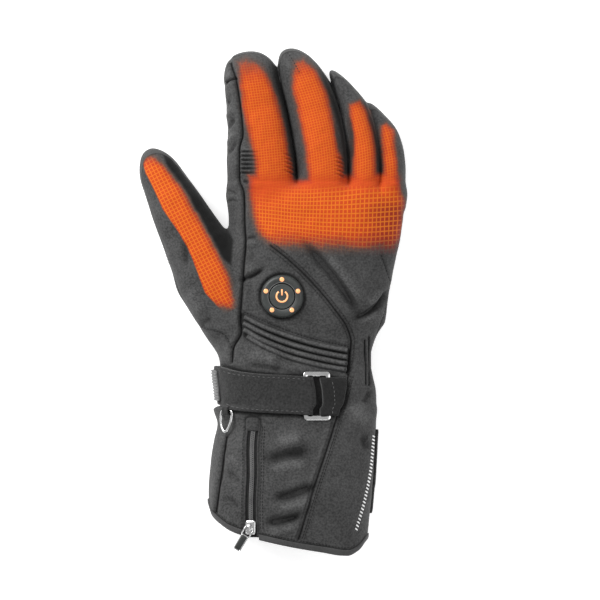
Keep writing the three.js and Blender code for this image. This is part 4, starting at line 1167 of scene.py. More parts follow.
# Near-black cloth of the tubes that paint the shadow in the seam grooves
painted_seam_shadow_material = cloth_material("seam_shadow", 0.006, 0.2, 0.0).material
stitch_thread = cloth_material("stitch_thread", 0.010, 0.2, 0.1).material
pale_thread = cloth_material("strap_stitches", 0.1, 0.3, 0.1).material
steel = metal_material("polished_steel").material
rubber = rubber_material("button_rubber", 0.028).material
cap_rubber = rubber_material("button_cap_rubber", 0.04, 0.42).material
grip_rubber = rubber_material("grip_rubber", 0.13, 0.6, 0).material
coil_nylon = rubber_material("coil_nylon", 0.12, 0.35, 0).material
insert_rubber = rubber_material("pull_insert", 0.02, 0.4).material
lamp = lamp_material("lamp_amber", (0.95, 0.40, 0.17, 1), 0.35).material
reflective = metal_material("reflective_trim", 0.75, 0.45).material


# Making objects

def grid_quads(n, m, wrap_rows=False, wrap_columns=False):
    """Faces between n rows of m points. A wrapped direction closes on itself."""
    quads = []
    for i in range(n if wrap_rows else n - 1):
        low, high = i * m, (i + 1) % n * m
        for j in range(m if wrap_columns else m - 1):
            after = (j + 1) % m
            quads.append((low + j, low + after, high + after, high + j))
    return quads


def end_caps(n, m):
    """Faces that close the first and the last of n rows of m points."""
    return [tuple(range(m))[::-1], tuple(range((n - 1) * m, n * m))]


def edge_fall(count, depth, reach):
    """How far each line of a band is lowered, so that its two edges are round."""
    index = np.arange(count)
    return depth * np.exp(-np.minimum(index, count - 1 - index) / reach)


def circle(radius, height, count):
    turn = np.linspace(0, 2 * math.pi, count, endpoint=False)
    return np.column_stack([radius * np.cos(turn), radius * np.sin(turn), np.full(count, height)])


def add_mesh(name, verts, quads, material, replaces=(), body="glove"):
    mesh = bpy.data.meshes.new(name)
    mesh.from_pydata(metres(verts).tolist(), [], [list(f) for f in quads])
    mesh.update()
    obj = bpy.data.objects.new(name, mesh)
    bpy.context.scene.collection.objects.link(obj)
    mesh.materials.append(material)
    mesh.polygons.foreach_set("use_smooth", np.ones(len(mesh.polygons), bool))
    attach(obj, body)
    if replaces:
        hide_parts(*replaces)
    return obj


def shell_piece(name, chosen, material, replaces, masks=None):
    """Some faces of the shell. With masks they come from its upper side, divided finely."""
    verts, quads, shading = moved, faces, shell_normals
    if masks:
        verts, quads, shading = fine_moved, fine_quads, fine_shading
    used, index = np.unique(quads[chosen], return_inverse=True)
    obj = add_mesh(name, verts[used], index.reshape(-1, 4), material, replaces)
    obj.data.normals_split_custom_set_from_vertices(shading[used].tolist())
    for key, values in (masks or {}).items():
        attribute = obj.data.attributes.new(key, "FLOAT", "POINT")
        attribute.data.foreach_set("value", values[used].astype(np.float32))
    return obj


def grid_mesh(name, rows, material, replaces=(), closed_v=False, body="glove"):
    """A surface through rows of points."""
    rows = np.asarray(rows, float)
    quads = grid_quads(*rows.shape[:2], wrap_columns=closed_v)
    return add_mesh(name, rows.reshape(-1, 3), quads, material, replaces, body)


def add_wall(sheet, thickness):
    wall = sheet.modifiers.new("wall", "SOLIDIFY")
    wall.thickness = thickness
    wall.offset = -1


class Heap:
    """Many small shapes gathered into one piece."""

    def __init__(self):
        self.verts, self.faces = [], []

    def add(self, verts, quads):
        start = sum(len(v) for v in self.verts)
        self.verts.append(np.asarray(verts, float))
        self.faces += [tuple(start + i for i in q) for q in quads]

    def tube(self, line, radius, sides=8, closed=False, flat=1.0, up=None):
        """A round cord along a line; flat squeezes it along the up direction."""
        line = np.asarray(line, float)
        n = len(line)
        if closed:
            ahead = np.roll(line, -1, axis=0) - np.roll(line, 1, axis=0)
        else:
            ahead = np.gradient(line, axis=0)
        ahead /= np.maximum(np.linalg.norm(ahead, axis=1, keepdims=True), 1e-9)
        ups = np.tile((0, 0, 1.0), (n, 1)) if up is None else np.broadcast_to(up, (n, 3)).astype(float)
        side = np.cross(ahead, ups)
        side /= np.maximum(np.linalg.norm(side, axis=1, keepdims=True), 1e-9)
        ups = np.cross(side, ahead)
        turn = np.linspace(0, 2 * math.pi, sides, endpoint=False)
        radius = np.broadcast_to(radius, (n,))[:, None, None]
        around = np.cos(turn)[None, :, None] * side[:, None]
        ring = around + flat * np.sin(turn)[None, :, None] * ups[:, None]
        verts = (line[:, None] + radius * ring).reshape(-1, 3)
        caps = [] if closed else end_caps(n, sides)
        self.add(verts, grid_quads(n, sides, closed, True) + caps)

    def make(self, name, material, replaces=(), body="glove"):
        verts = np.concatenate(self.verts)
        return add_mesh(name, verts, self.faces, material, replaces, body)


def stitch_row(heap, line, offset):
    """Single stitches along a line in plan, at a distance beside it."""
    dense = resample(line, 0.5)
    ahead = np.gradient(dense, axis=0)
    ahead /= np.linalg.norm(ahead, axis=1, keepdims=True)
    beside = dense + offset * np.stack([-ahead[:, 1], ahead[:, 0]], axis=1)
    run = np.concatenate([[0], np.cumsum(np.linalg.norm(np.diff(beside, axis=0), axis=1))])
    starts = np.arange(STITCH_SPACE / 2, run[-1] - STITCH_LENGTH, STITCH_LENGTH + STITCH_SPACE)
    for s in starts:
        at = np.linspace(s, s + STITCH_LENGTH, 4)
        places = np.stack([np.interp(at, run, beside[:, i]) for i in range(2)], axis=1)
        spots, ups = drop(places, -STITCH_SINK)
        if len(spots) == 4:
            heap.tube(spots, STITCH_RADIUS * np.array([0.55, 1, 1, 0.55]), 5, up=ups)


# Heat masks and the lines of the heating grid

plan = fine_points[:, :2]
px = plan[:, 0] / PIXEL + WRIST_PX[0]
py = WRIST_PX[1] - plan[:, 1] / PIXEL
face_up = smoothstep(-0.15, 0.3, fine_normals[:, 2])
wobble = 1.0 * value_noise(plan, 9, 11) + 0.5 * value_noise(plan, 4, 14)
part_values = np.stack([sample(fields[s.name], fine_points) for s in stalls])
stall_of = np.argmin(part_values, axis=0)
knuckle_inside = inside_outline(plan, photo(KNUCKLE_ZONE)) / PIXEL + 1.5 * wobble
low_fade = smoothstep(262, 226, py + 2 * wobble)
heat = smoothstep(-3.5, 12, knuckle_inside) * low_fade
photo_columns = np.arange(200, 452)
across_pitch = lerp(2.05, 2.8, smoothstep(290, 365, photo_columns[:-1]))
lines_across = np.concatenate([[0], np.cumsum(PIXEL / across_pitch)])
grid_u = np.interp(px + 0.04 * (py - 215), photo_columns, lines_across)
along_pitch = lerp(2.45, 3.15, smoothstep(290, 370, px))
grid_v = (plan[:, 1] - 101 - 0.0012 * (plan[:, 0] - 25) ** 2) / along_pitch
grid_u += 0.12 * value_noise(plan, 16, 12)
grid_v += 0.12 * value_noise(plan, 16, 13)
blotch = np.exp(-(((px - 262) / 26) ** 2) - ((py - 190) / 15) ** 2)
blotch = np.maximum(blotch, np.exp(-(((px - 305) / 26) ** 2) - ((py - 178) / 8) ** 2))
lines = lerp(0.85, 0.2, blotch) * smoothstep(180, 198, py)
cell_dark = smoothstep(350, 392, px) * smoothstep(193, 212, py)
for i, stall in enumerate(stalls):
    a, t = stall.local(plan[:, 0], plan[:, 1])
    own = stall_of == i
    if stall.name == "thumb":
        outline = np.vstack([photo(THUMB_SHARP_EDGE), photo(THUMB_SOFT_EDGE)])
        inside = inside_outline(plan, outline) / PIXEL
        sharp, _ = line_distance(plan, photo(THUMB_SHARP_EDGE), reach=30)
        blurred, _ = line_distance(plan, photo(THUMB_SOFT_EDGE), reach=30)
        fade = smoothstep(-1, 13, blurred / PIXEL + wobble) * smoothstep(-0.4, 1.2, sharp)
        tip_fade = smoothstep(150, 172, py + 0.3 * (px - 150) + 2 * wobble)
        low_end = smoothstep(318, 296, py - 0.25 * (px - 225) + wobble)
        zone = np.where(inside > 0, fade, 0) * lerp(0.3, 1, tip_fade) * low_end
        zone = zone * own * (plan[:, 0] < button_middle[0])
        mine = zone > heat
        pitch, strength = THUMB_PITCH, 0.8
    else:
        inside = inside_outline(plan, photo(FINGER_ZONES[stall.name])) / PIXEL
        zone = smoothstep(-4, 9, inside + wobble)
        zone = zone * lerp(0.35, 1, smoothstep(0.98, 0.72, a)) * own
        mine = (own & (py < 186)) | ((zone > heat) & (py < 200))
        pitch, strength = FINGER_PITCH, 0.62
        zone = np.where(py < 200, zone, 0)
    heat = np.maximum(heat, zone)
    grid_u = np.where(mine, t / pitch, grid_u)
    grid_v = np.where(mine, a * stall.length / pitch, grid_v)
    near_join = smoothstep(183, 170, py) if stall.name != "thumb" else 1
    lines = np.where(mine, strength * lerp(0.25, 1, near_join), lines)
heat = heat * face_up
leather = smoothstep(-1.0, 1.5, inside_outline(plan, photo(THUMB_LEATHER)))
leather = leather * (stall_of == len(stalls) - 1) * (1 - smoothstep(0.02, 0.35, heat))
leather = np.maximum(leather, smoothstep(19.5, 18.5, fine_points[:, 2]) * 0.5)
# The shell's painted shade and highlight go to the shader as the shade mask
masks = {
    "warmth": heat, "grid_u": grid_u, "grid_v": grid_v, "lines": lines,
    "cell_dark": cell_dark, "leather": leather, "shade": fine_painted_shading,
}

# The shell's pieces
lower = kept & ~upper
on_hand = (face_label == 0) & (middles[:, 1] >= 0)
on_cuff = (face_label == 0) & (middles[:, 1] < 0)
fine_hand = (fine_label == 0) & ~fine_on_cuff
fine_cuff = (fine_label == 0) & fine_on_cuff
pieces = [
    shell_piece("back_of_hand", fine_hand, cloth, ["hand_back"], masks),
    shell_piece("cuff_shell", fine_cuff, cloth, ["cuff_back"], masks),
    shell_piece("palm_leather", lower & on_hand, palm_leather, ["palm"]),
    shell_piece("cuff_underside", lower & on_cuff, palm_leather, ["cuff_palm"]),
]
for i, stall in enumerate(stalls):
    own = face_label == i + 1
    name, top_side = stall.name, fine_label == i + 1
    pieces.append(shell_piece(f"{name}_shell", top_side, cloth, [name], masks))
    pieces.append(shell_piece(f"{name}_palm", lower & own, palm_leather, []))

# Lining, a wall's thickness inside the shell
above_floor = LINING_DEPTH - axes[2][None, None, :]
inner = smooth_max(lining_field + LINING_DEPTH, above_floor, BASE_BLEND)
lining_points, lining_faces = extract(inner, 2)
lining_points = project(inner, lining_points, 2)
lining_x, lining_y, lining_z = lining_points[lining_faces].mean(axis=1).T
open_zip = np.abs(lining_x - zip_x_at(lining_y)) < zip_half
open_zip &= (lining_z > SEAM_HEIGHT) & (-lining_y / CUFF_LENGTH > ZIP_START)
chosen = (lining_y > hem_height(lining_x) + hem_edge) & ~open_zip
used, index = np.unique(lining_faces[chosen], return_inverse=True)
add_mesh("fleece_lining", lining_points[used], index.reshape(-1, 4)[:, ::-1], lining_cloth)

# Binding round the hem
turns = np.linspace(0, 2 * math.pi, 400, endpoint=False)
hem_loop_y = np.full(len(turns), -CUFF_LENGTH * 0.9)
for _ in range(12):
    spot = skin(hem_loop_y, turns)
    hem_loop_y = lerp(hem_loop_y, hem_height(spot[:, 0]), 0.7)
corners = [
    (0.0, 0.35), (0.1, 0.75), (0.35, 0.95), (0.7, 1.0), (0.92, 0.9), (1.0, 0.7), (1.0, 0.3),
]
profile = []
for share, reach in corners:
    profile.append((share * BINDING_LENGTH, reach * BINDING_SWELL))
for share, reach in corners[::-1]:
    profile.append((share * BINDING_LENGTH, -CUFF_WALL - reach * BINDING_SWELL))
rows = []
for up, grow in profile:
    ring = skin(hem_loop_y + up, turns, grow)
    ring[:, 2] = np.maximum(ring[:, 2], max(0.0, -grow))
    rows.append(ring)
rows = np.array(rows)
off = np.abs(rows[3][:, 0] - zip_x_at(rows[3][:, 1]))
open_part = (off < zip_half + 0.2) & (rows[3][:, 2] > SEAM_HEIGHT)
first = int(np.flatnonzero(open_part)[-1]) + 1
count = len(turns) - int(open_part.sum())
order = (first + np.arange(count)) % len(turns)
rows = rows[:, order]
n, m = rows.shape[:2]
quads = grid_quads(n, m, wrap_rows=True)
quads.append(tuple(i * m for i in range(n)))
quads.append(tuple(i * m + m - 1 for i in range(n))[::-1])
add_mesh("hem_binding_roll", rows.reshape(-1, 3), quads, binding_cloth, ["hem_binding"])

# Straps and trims that follow the cuff

def cuff_band(name, plan_rows, low, high, material, replaces):
    """A closed band between two heights over the cuff. plan_rows run across it."""
    plan_rows = np.asarray(plan_rows, float)
    n, m = plan_rows.shape[:2]
    top = over(plan_rows, high - (edge_fall(n, 0.45, 0.9)[:, None] + edge_fall(m, 0.45, 0.9)))
    lower = over(plan_rows, low)
    k = n * m
    quads = []
    for a, b, c, d in grid_quads(n, m):
        quads += [(a, b, c, d), (k + d, k + c, k + b, k + a)]
    for left in range(0, k - m, m):
        right = left + m - 1
        quads.append((left, left + m, k + left + m, k + left))
        quads.append((right, k + right, k + right + m, right + m))
    for j in range(m - 1):
        last = k - m + j
        quads.append((j, k + j, k + j + 1, j + 1))
        quads.append((last, last + 1, k + last + 1, k + last))
    verts = np.concatenate([top.reshape(-1, 3), lower.reshape(-1, 3)])
    return add_mesh(name, verts, quads, material, replaces)


def strap_band(name, angles, spread, low, high, ridges, material, replaces):
    """A closed band along the strap's line, which runs round the cuff between two angles."""
    across = squared(np.cos(angles), SQUARENESS)
    y = -strap_along(across)[:, None] * CUFF_LENGTH + spread
    top = skin(y, angles[:, None], high - edge_fall(len(spread), 0.5, 0.8) + ridges)
    lower = skin(y, angles[:, None], low)
    ring = np.concatenate([top, lower[:, ::-1]], axis=1)
    n, m = ring.shape[:2]
    quads = grid_quads(n, m, wrap_columns=True) + end_caps(n, m)
    return add_mesh(name, ring.reshape(-1, 3), quads, material, replaces)


def side_angle(height, y, tries):
    """The one of some angles at which the skin comes nearest to a height."""
    z = skin(np.full(len(tries), y), tries)[:, 2]
    return tries[np.argmin(np.abs(z - height))]


ring_y = -RING_PLACE[1] * CUFF_LENGTH
strap_end = STRAP_FOLD - 0.04
thumb_side = np.linspace(math.pi * 0.75, math.pi * 1.25, 400)
strap_low_angle = side_angle(SEAM_HEIGHT + 0.8, -0.078 * CUFF_LENGTH, thumb_side)
strap_angles = np.linspace(float(angle_at(strap_end)), strap_low_angle, 110)
strap_spread = np.linspace(-STRAP_WIDTH / 2, STRAP_WIDTH / 2, 41)
waves = 0.12 * np.sin(strap_angles[:, None] * 23) * np.cos(strap_spread[None, :] / 3.1)
strap_band(
    "wrist_strap_band", strap_angles, strap_spread, GAP - 0.2, GAP + STRAP_THICKNESS, waves,
    webbing, ["wrist_strap"],
)

# The strap's fold round the ring's bar
fold_y = -strap_along(strap_end) * CUFF_LENGTH + strap_spread
fold_half = section(ring_y)[1]
fold_radius = STRAP_THICKNESS / 2
fold_rows = []
for t in np.linspace(math.pi / 2, -math.pi / 2, 13):
    across = strap_end + fold_radius * math.cos(t) / fold_half
    grow = GAP + fold_radius + fold_radius * math.sin(t)
    fold_rows.append(skin(fold_y, angle_at(across), grow - edge_fall(len(fold_y), 0.25, 0.8)))
grid_mesh("wrist_strap_fold", fold_rows, webbing, ["wrist_strap"])

# Anchor on the other side of the ring
anchor_rows = []
for s in np.linspace(-STRAP_WIDTH / 2, STRAP_WIDTH / 2, 31):
    end = lerp(ANCHOR_LOW_END, ANCHOR_TOP_END, (s + STRAP_WIDTH / 2) / STRAP_WIDTH)
    shares = np.linspace(ANCHOR_START - 0.01, end, 24)
    anchor_rows.append([(place(a, ring_y + s), ring_y + s) for a in shares])
cuff_band(
    "strap_anchor_loop", anchor_rows, GAP - 0.2, GAP + ANCHOR_THICKNESS, dark_webbing,
    ["strap_anchor"],
)

# Ring
ring_reach = (RING_INNER_WIDTH / 2 + RING_BAR, (STRAP_WIDTH + 2 * RING_PLAY) / 2 + RING_END_BAR)
ring_frame = Frame(RING_PLACE[0], ring_y, ring_reach[1])
ring_low = GAP + (STRAP_THICKNESS - RING_THICKNESS) / 2


def rounded_rectangle(half_x, half_y, corner):
    """An outline of eight points to a corner."""
    loop = []
    for sx, sy, start in ((1, 1, 0), (-1, 1, 90), (-1, -1, 180), (1, -1, 270)):
        for t in np.linspace(0, 90, 8):
            angle = math.radians(start + t)
            x = sx * (half_x - corner) + corner * math.cos(angle)
            y = sy * (half_y - corner) + corner * math.sin(angle)
            loop.append((x, y))
    return np.array(loop)


def framed_ring(heap, frame_of, outer, inner, low, high, crown=0.25):
    """A flat ring with softened edges between two outlines of as many points."""
    n = len(outer)
    loops = []
    for share, height in (
        (0.0, low + crown), (0.0, high - crown), (0.12, high), (0.5, high + 0.12), (0.88, high),
        (1.0, high - crown), (1.0, low + crown), (0.88, low), (0.12, low),
    ):
        flat = lerp(outer, inner, share)
        loops.append(frame_of.out(np.column_stack([flat, np.full(n, height)])))
    quads = grid_quads(len(loops), n, True, True)
    heap.add(np.array(loops).reshape(-1, 3), quads)


heap = Heap()
framed_ring(
    heap, ring_frame, rounded_rectangle(*ring_reach, 2.2),
    rounded_rectangle(ring_reach[0] - RING_BAR, ring_reach[1] - RING_END_BAR, 1.0),
    ring_low, ring_low + RING_THICKNESS,
)
heap.make("strap_ring_polished", steel, ["strap_ring"])

# Ribbed grip at the strap's end
tab_top_angle = math.acos(max(-1.0, squared(np.array(TAB_ACROSS), 4 / SQUARENESS)))
tab_angles = np.linspace(tab_top_angle, strap_low_angle - 0.02, 50)
tab_spread = np.linspace(-TAB_LENGTH / 2, TAB_LENGTH / 2, 61)
ridges = 0.35 * np.cos(tab_spread[None, :] * 2 * math.pi / 1.9) * np.ones((50, 1)) - 0.35
strap_band(
    "strap_grip", tab_angles, tab_spread, 2 * GAP + STRAP_THICKNESS - 0.3,
    2 * GAP + STRAP_THICKNESS + TAB_THICKNESS, ridges, grip_rubber, ["strap_end_tab"],
)

# Clip ring and its loop
clip_frame = Frame(CLIP_PLACE[0], -CLIP_PLACE[1] * CUFF_LENGTH)
clip_low = GAP + LOOP_WALL + GAP
inset = CLIP_BAR / 2
half, high, low = CLIP_WIDTH / 2 - inset, CLIP_BAR - inset, CLIP_BAR - CLIP_LENGTH + inset * 1.6
shoulder = high - (high - low) * 0.42
clip_line = [
    (0, high), (half * 0.72, high), (half, high - 1.6), (half * 0.96, shoulder),
    (half * 0.3, low + 0.6), (0, low), (-half * 0.3, low + 0.6), (-half * 0.96, shoulder),
    (-half, high - 1.6), (-half * 0.72, high), (0, high),
]
clip_loop = resample(clip_line, 0.6)[:-1]
clip_middle = np.full(len(clip_loop), clip_low + CLIP_THICKNESS / 2)
clip_points = clip_frame.out(np.column_stack([clip_loop, clip_middle]))
clip_flat = CLIP_THICKNESS / CLIP_BAR
heap = Heap()
heap.tube(clip_points, CLIP_BAR / 2, 12, closed=True, flat=clip_flat, up=clip_frame.z)
heap.make("clip_ring_polished", steel, ["clip_ring"])
loop_low, loop_high = 0.1, clip_low + CLIP_THICKNESS + GAP + LOOP_WALL
loop_rows = []
for s in np.linspace(-LOOP_WIDTH / 2, LOOP_WIDTH / 2, 12):
    loop_rows.append([(s, y, z) for y, z in (
        (-2.4, loop_low), (-1.3, 0.9 * loop_high), (-0.6, loop_high),
        (CLIP_BAR * 0.5, loop_high + 0.2), (CLIP_BAR + 0.5, loop_high),
        (CLIP_BAR + 1.3, 0.8 * loop_high), (CLIP_BAR + 1.6, loop_low),
    )])
loop_rows = clip_frame.out(np.array(loop_rows))
add_wall(grid_mesh("clip_web_loop", loop_rows, webbing, ["clip_loop"]), 0.0007)

# Zip: tape, rolled cloth edges, coil, garage, slider and pull
zip_alongs = np.linspace(ZIP_START + 0.004, 1.0, 90)
zip_middle = zip_place(zip_alongs)
hem_there = np.array([hem_height(x) for x in zip_middle[:, 0]])
inside_hem = zip_middle[:, 1] > hem_there + 0.4
zip_middle = zip_middle[inside_hem]
tape_places = np.linspace(-zip_half + 0.1, zip_half - 0.1, 15)
tape_rows = [over(zip_middle + np.array([t, 0]), TAPE_TOP - 0.25) for t in tape_places]
tape = grid_mesh("zip_tape_web", tape_rows, tape_webbing, ["zip_tape"])
add_wall(tape, 0.0009)
for sign, side in ((-1, "left"), (1, "right")):
    heap = Heap()
    line = over(zip_middle + np.array([sign * (zip_half - 0.25), 0]), 0.1)
    heap.tube(line, 0.62, 10, flat=0.75)
    heap.make(f"zip_edge_{side}", plain_cloth)
coil = Heap()
coil_line = resample(zip_middle[zip_middle[:, 1] < -(GARAGE_ALONG + 0.03) * CUFF_LENGTH], 0.62)
coil_line = coil_line[coil_line[:, 1] > -SLIDER_ALONG * CUFF_LENGTH - 1]
for i, spot in enumerate(coil_line):
    sign = 1 if i % 2 else -1
    ends = spot + np.array([(sign * 1.0, 0.25), (sign * 0.35, 0.0), (-sign * 0.3, -0.2)])
    coil.tube(over(ends, TAPE_TOP + 0.6), np.array([0.28, 0.36, 0.26]), 6)
for sign in (-1, 1):
    coil.tube(over(coil_line + np.array([sign * 1.1, 0]), TAPE_TOP + 0.4), 0.28, 6)
coil.make("zip_coil_teeth", coil_nylon, ["zip_coil"])
garage_middle = zip_place(GARAGE_ALONG)
garage_rows = []
for v in np.linspace(-1, 1, 25):
    row = []
    for u in np.linspace(-1, 1, 25):
        size = max(abs(u), abs(v), 1e-6)
        power = max((abs(u) ** 4 + abs(v) ** 4) ** 0.25, 1e-6)
        x = u * size / power * GARAGE_WIDTH / 2
        y = v * size / power * GARAGE_LENGTH / 2
        height = GAP + GARAGE_THICKNESS * (1 - max(abs(u), abs(v)) ** 5)
        row.append(over(garage_middle + np.array([x, y]), height - 0.3))
    garage_rows.append(row)
grid_mesh("zip_garage_cap", garage_rows, plain_cloth, ["zip_garage"])

coil_top = TAPE_TOP + COIL_HEIGHT
slider_low = coil_top + GAP
slider_top = slider_low + SLIDER_THICKNESS
pivot_height = slider_top + PULL_BAR_RADIUS + GAP
bridge_top = pivot_height + PULL_BAR_RADIUS + GAP + BRIDGE_BAR
slider_y = -SLIDER_ALONG * CUFF_LENGTH
slider_frame = Frame(float(zip_across(SLIDER_ALONG)), slider_y)


def slab(heap, frame_of, outline, low, high, bevel, dome):
    """A plate with softened edges and a slightly domed face."""
    centre = outline.mean(axis=0)
    beveled = 1 - bevel / np.linalg.norm(outline - centre, axis=1).mean()
    rings = []
    for shrink, height in (
        (beveled, low), (1.0, low + bevel), (1.0, high - bevel), (beveled, high),
        (0.55, high + dome * 0.8), (0.05, high + dome),
    ):
        flat = centre + (outline - centre) * shrink
        rings.append(frame_of.out(np.column_stack([flat, np.full(len(flat), height)])))
    n, m = len(rings), len(outline)
    heap.add(np.array(rings).reshape(-1, 3), grid_quads(n, m, False, True) + end_caps(n, m))


slider = Heap()
slider_outline = rounded_rectangle(SLIDER_WIDTH / 2, SLIDER_LENGTH / 2, 1.3)
slider_outline[:, 0] *= 1 - 0.12 * bell(slider_outline[:, 1], 2.0)
slab(slider, slider_frame, slider_outline, slider_low, slider_top, 0.35, 0.15)
bridge_half = BRIDGE_ROOM / 2 + BRIDGE_BAR / 2
arch_side = [
    (0, -bridge_half, slider_top - 0.3), (0, -bridge_half, slider_top + 0.9),
    (0, -bridge_half + 0.8, bridge_top - 0.45),
]
arch = arch_side + [(0, 0, bridge_top - 0.4)] + [(0, -y, z) for _, y, z in arch_side[::-1]]
slider.tube(slider_frame.out(resample(arch, 0.4)), BRIDGE_BAR / 2 + 0.05, 10, up=slider_frame.x)
slider.make("zip_slider_body", steel, ["zip_slider"])

pull_frame = slider_frame.lifted(pivot_height).turned(-PULL_TURN)
pull = Heap()
arm = PULL_ARM_SPREAD / 2 + PULL_ARM_WIDTH / 2
yoke = PULL_ARM_LENGTH - PULL_ARM_WIDTH / 2
bar_radius = PULL_BAR_RADIUS - 0.05
for line, radius, sides in (
    ([(-arm, 0, 0), (0, 0, 0), (arm, 0, 0)], bar_radius, 12),
    ([(-arm, 0.3, 0), (-arm, -yoke / 2, 0), (-arm, -yoke, 0)], 0.42, 10),
    ([(arm, 0.3, 0), (arm, -yoke / 2, 0), (arm, -yoke, 0)], 0.42, 10),
    ([(-arm, -yoke, 0), (0, -yoke, 0), (arm, -yoke, 0)], 0.42, 10),
):
    pull.tube(pull_frame.out(line), radius, sides, up=pull_frame.z)
tab_centre = np.array([0, -(PULL_ARM_LENGTH - PULL_ARM_WIDTH) - PULL_TAB_LENGTH / 2])
tab_outer = rounded_rectangle(PULL_TAB_WIDTH / 2, PULL_TAB_LENGTH / 2, 1.0) + tab_centre
tab_inner = rounded_rectangle(PULL_TAB_WIDTH / 2 - 0.75, PULL_TAB_LENGTH / 2 - 0.75, 0.5)
tab_half = PULL_TAB_THICKNESS / 2
framed_ring(pull, pull_frame, tab_outer, tab_inner + tab_centre, -tab_half, tab_half - 0.12)
pull.make("zip_pull_frame", steel, ["zip_pull"], "pull")
insert = Heap()
insert_outline = rounded_rectangle(PULL_TAB_WIDTH / 2 - 0.7, PULL_TAB_LENGTH / 2 - 0.7, 0.5)
insert_outline = insert_outline + tab_centre
slab(insert, pull_frame, insert_outline, -tab_half + 0.15, tab_half - 0.3, 0.1, 0.1)
insert.make("zip_pull_insert", insert_rubber, ["zip_pull"], "pull")

# Flap on the outer side of the cuff
outer_side = np.linspace(-math.pi * 0.35, math.pi * 0.35, 300)
flap_ys = -np.linspace(0.33, 0.78, 60) * CUFF_LENGTH
flap_ends = edge_fall(len(flap_ys), 0.4, 0.7)
tops, lowers = [], []
for k, y in enumerate(flap_ys):
    share = k / (len(flap_ys) - 1)
    tall = lerp(FLAP_HEIGHT, FLAP_TIP_HEIGHT, smoothstep(0.64, 0.7, share))
    heights = np.linspace(SEAM_HEIGHT - tall / 2, SEAM_HEIGHT + tall / 2, 15)
    angles = np.array([side_angle(h, y, outer_side) for h in heights])
    fall = edge_fall(len(angles), 0.4, 0.7) + flap_ends[k]
    tops.append(skin(y, angles, GAP + FLAP_THICKNESS - fall))
    lowers.append(skin(y, angles, GAP - 0.1))
ring = np.concatenate([np.array(tops), np.array(lowers)[:, ::-1]], axis=1)
n, m = ring.shape[:2]
quads = grid_quads(n, m, wrap_columns=True) + end_caps(n, m)
add_mesh("side_flap_tab", ring.reshape(-1, 3), quads, side_cloth, ["side_flap"])

# Button
button_frame = Frame(BUTTON_PLACE[0], button_y, 0.02 * HAND_LENGTH)
recess = CAP_RADIUS + CAP_CLEARANCE


def revolve(profile, name, material, replaces, body="glove"):
    """A surface turned round the button's middle."""
    rows = [button_frame.out(circle(radius, height, 96)) for radius, height in profile]
    return grid_mesh(name, rows, material, replaces, closed_v=True, body=body)


middle_rim = (BUTTON_RADIUS + recess) / 2
top = BUTTON_HEIGHT
revolve([
    (0.01, 0.6), (recess, 0.6), (recess, top - 0.9), (recess + 0.12, top - 0.45),
    (recess + 0.45, top - 0.12), (recess + 0.8, top + 0.02),
    (middle_rim - 1.0, top + RIM_CROWN - 0.05), (middle_rim, top + RIM_CROWN),
    (middle_rim + 1.0, top + RIM_CROWN - 0.08), (BUTTON_RADIUS - 1.3, top - 0.02),
    (BUTTON_RADIUS - 0.8, top - 0.5), (BUTTON_RADIUS - 0.35, top - 1.2),
    (BUTTON_RADIUS - 0.1, top - 2.2), (BUTTON_RADIUS, 0.6), (BUTTON_RADIUS, -0.6),
], "button_rim", rubber, ["button_base"])
# A pale ring round the cap's recess: a painted highlight on the rim's inner bevel
bevel_highlight = Heap()
bevel_highlight.tube(button_frame.out(circle(recess + 0.5, top - 0.05, 96)), 0.2, 6, closed=True)
bevel_highlight.make("button_bevel_highlight", grip_rubber)
cap_low = top - 1.5
revolve([
    (0.01, cap_low), (CAP_RADIUS, cap_low), (CAP_RADIUS, top - 0.5),
    (CAP_RADIUS - 0.15, top - 0.22), (CAP_RADIUS - 0.5, top - 0.08),
    (CAP_RADIUS - 1.0, top - 0.02), (CAP_RADIUS - 1.3, top - 0.1),
    (CAP_RADIUS - 1.7, top - 0.05), (CAP_RADIUS * 0.5, top + 0.1), (0.01, top + 0.15),
], "button_cap_face", cap_rubber, ["button_cap"], "button")
symbol = Heap()
arc = np.radians(np.linspace(125, 415, 40))
ring_line = np.column_stack([3.6 * np.cos(arc), 3.6 * np.sin(arc), np.full(40, top + 0.12)])
stroke_line = [(0, 0.6, top + 0.15), (0, 2.6, top + 0.14), (0, 4.6, top + 0.1)]
for line in (ring_line, stroke_line):
    symbol.tube(button_frame.out(line), 0.55, 8, flat=0.4, up=button_frame.z)
symbol.make("button_power_mark", lamp, body="button")
orbit = middle_rim - 0.3
light_top = top + RIM_CROWN + LIGHT_RISE
for i in range(LIGHT_COUNT):
    angle = math.pi / 2 + 2 * math.pi * i / LIGHT_COUNT
    middle = np.array([orbit * math.cos(angle), orbit * math.sin(angle)])
    bead = Heap()
    disc = middle + circle(LIGHT_RADIUS, 0, 28)[:, :2]
    slab(bead, button_frame, disc, top - 0.6, light_top, 0.15, 0.15)
    bead.make(f"button_lens_{i + 1}", lamp, [f"button_light_{i + 1}"])

# Dark tubes that paint the shadow in the seam grooves, and stitches
shadow = Heap()
for name in ("back", "sweep", "cuff", "thumb_side", "index", "wrist", "tuck"):
    spots, ups = drop(resample(seams[name], 0.8), -0.1)
    shadow.tube(spots, SEAM_RADIUS, 6, up=ups)
shadow.make("seam_shadow_lines", painted_seam_shadow_material)
stitches = Heap()
for name, offset in (
    ("sweep", -1.9), ("sweep", 1.9), ("cuff", 1.9), ("cuff", 3.4), ("outer", 0.0), ("rib", 0.0),
    ("gusset", 0.0), ("middle", 1.4),
):
    stitch_row(stitches, seams[name], offset)
for offset in (-6.0, 6.0, 7.6):
    stitch_row(stitches, zip_middle[::6] + np.array([offset, 0]), 0.0)
hem_line = np.stack([hem_x, hem_y + BINDING_LENGTH + 1.4], axis=1)
hem_line = hem_line[(hem_samples > -0.93) & (hem_samples < 0.93)]
zip_end = zip_middle[-1, 0]
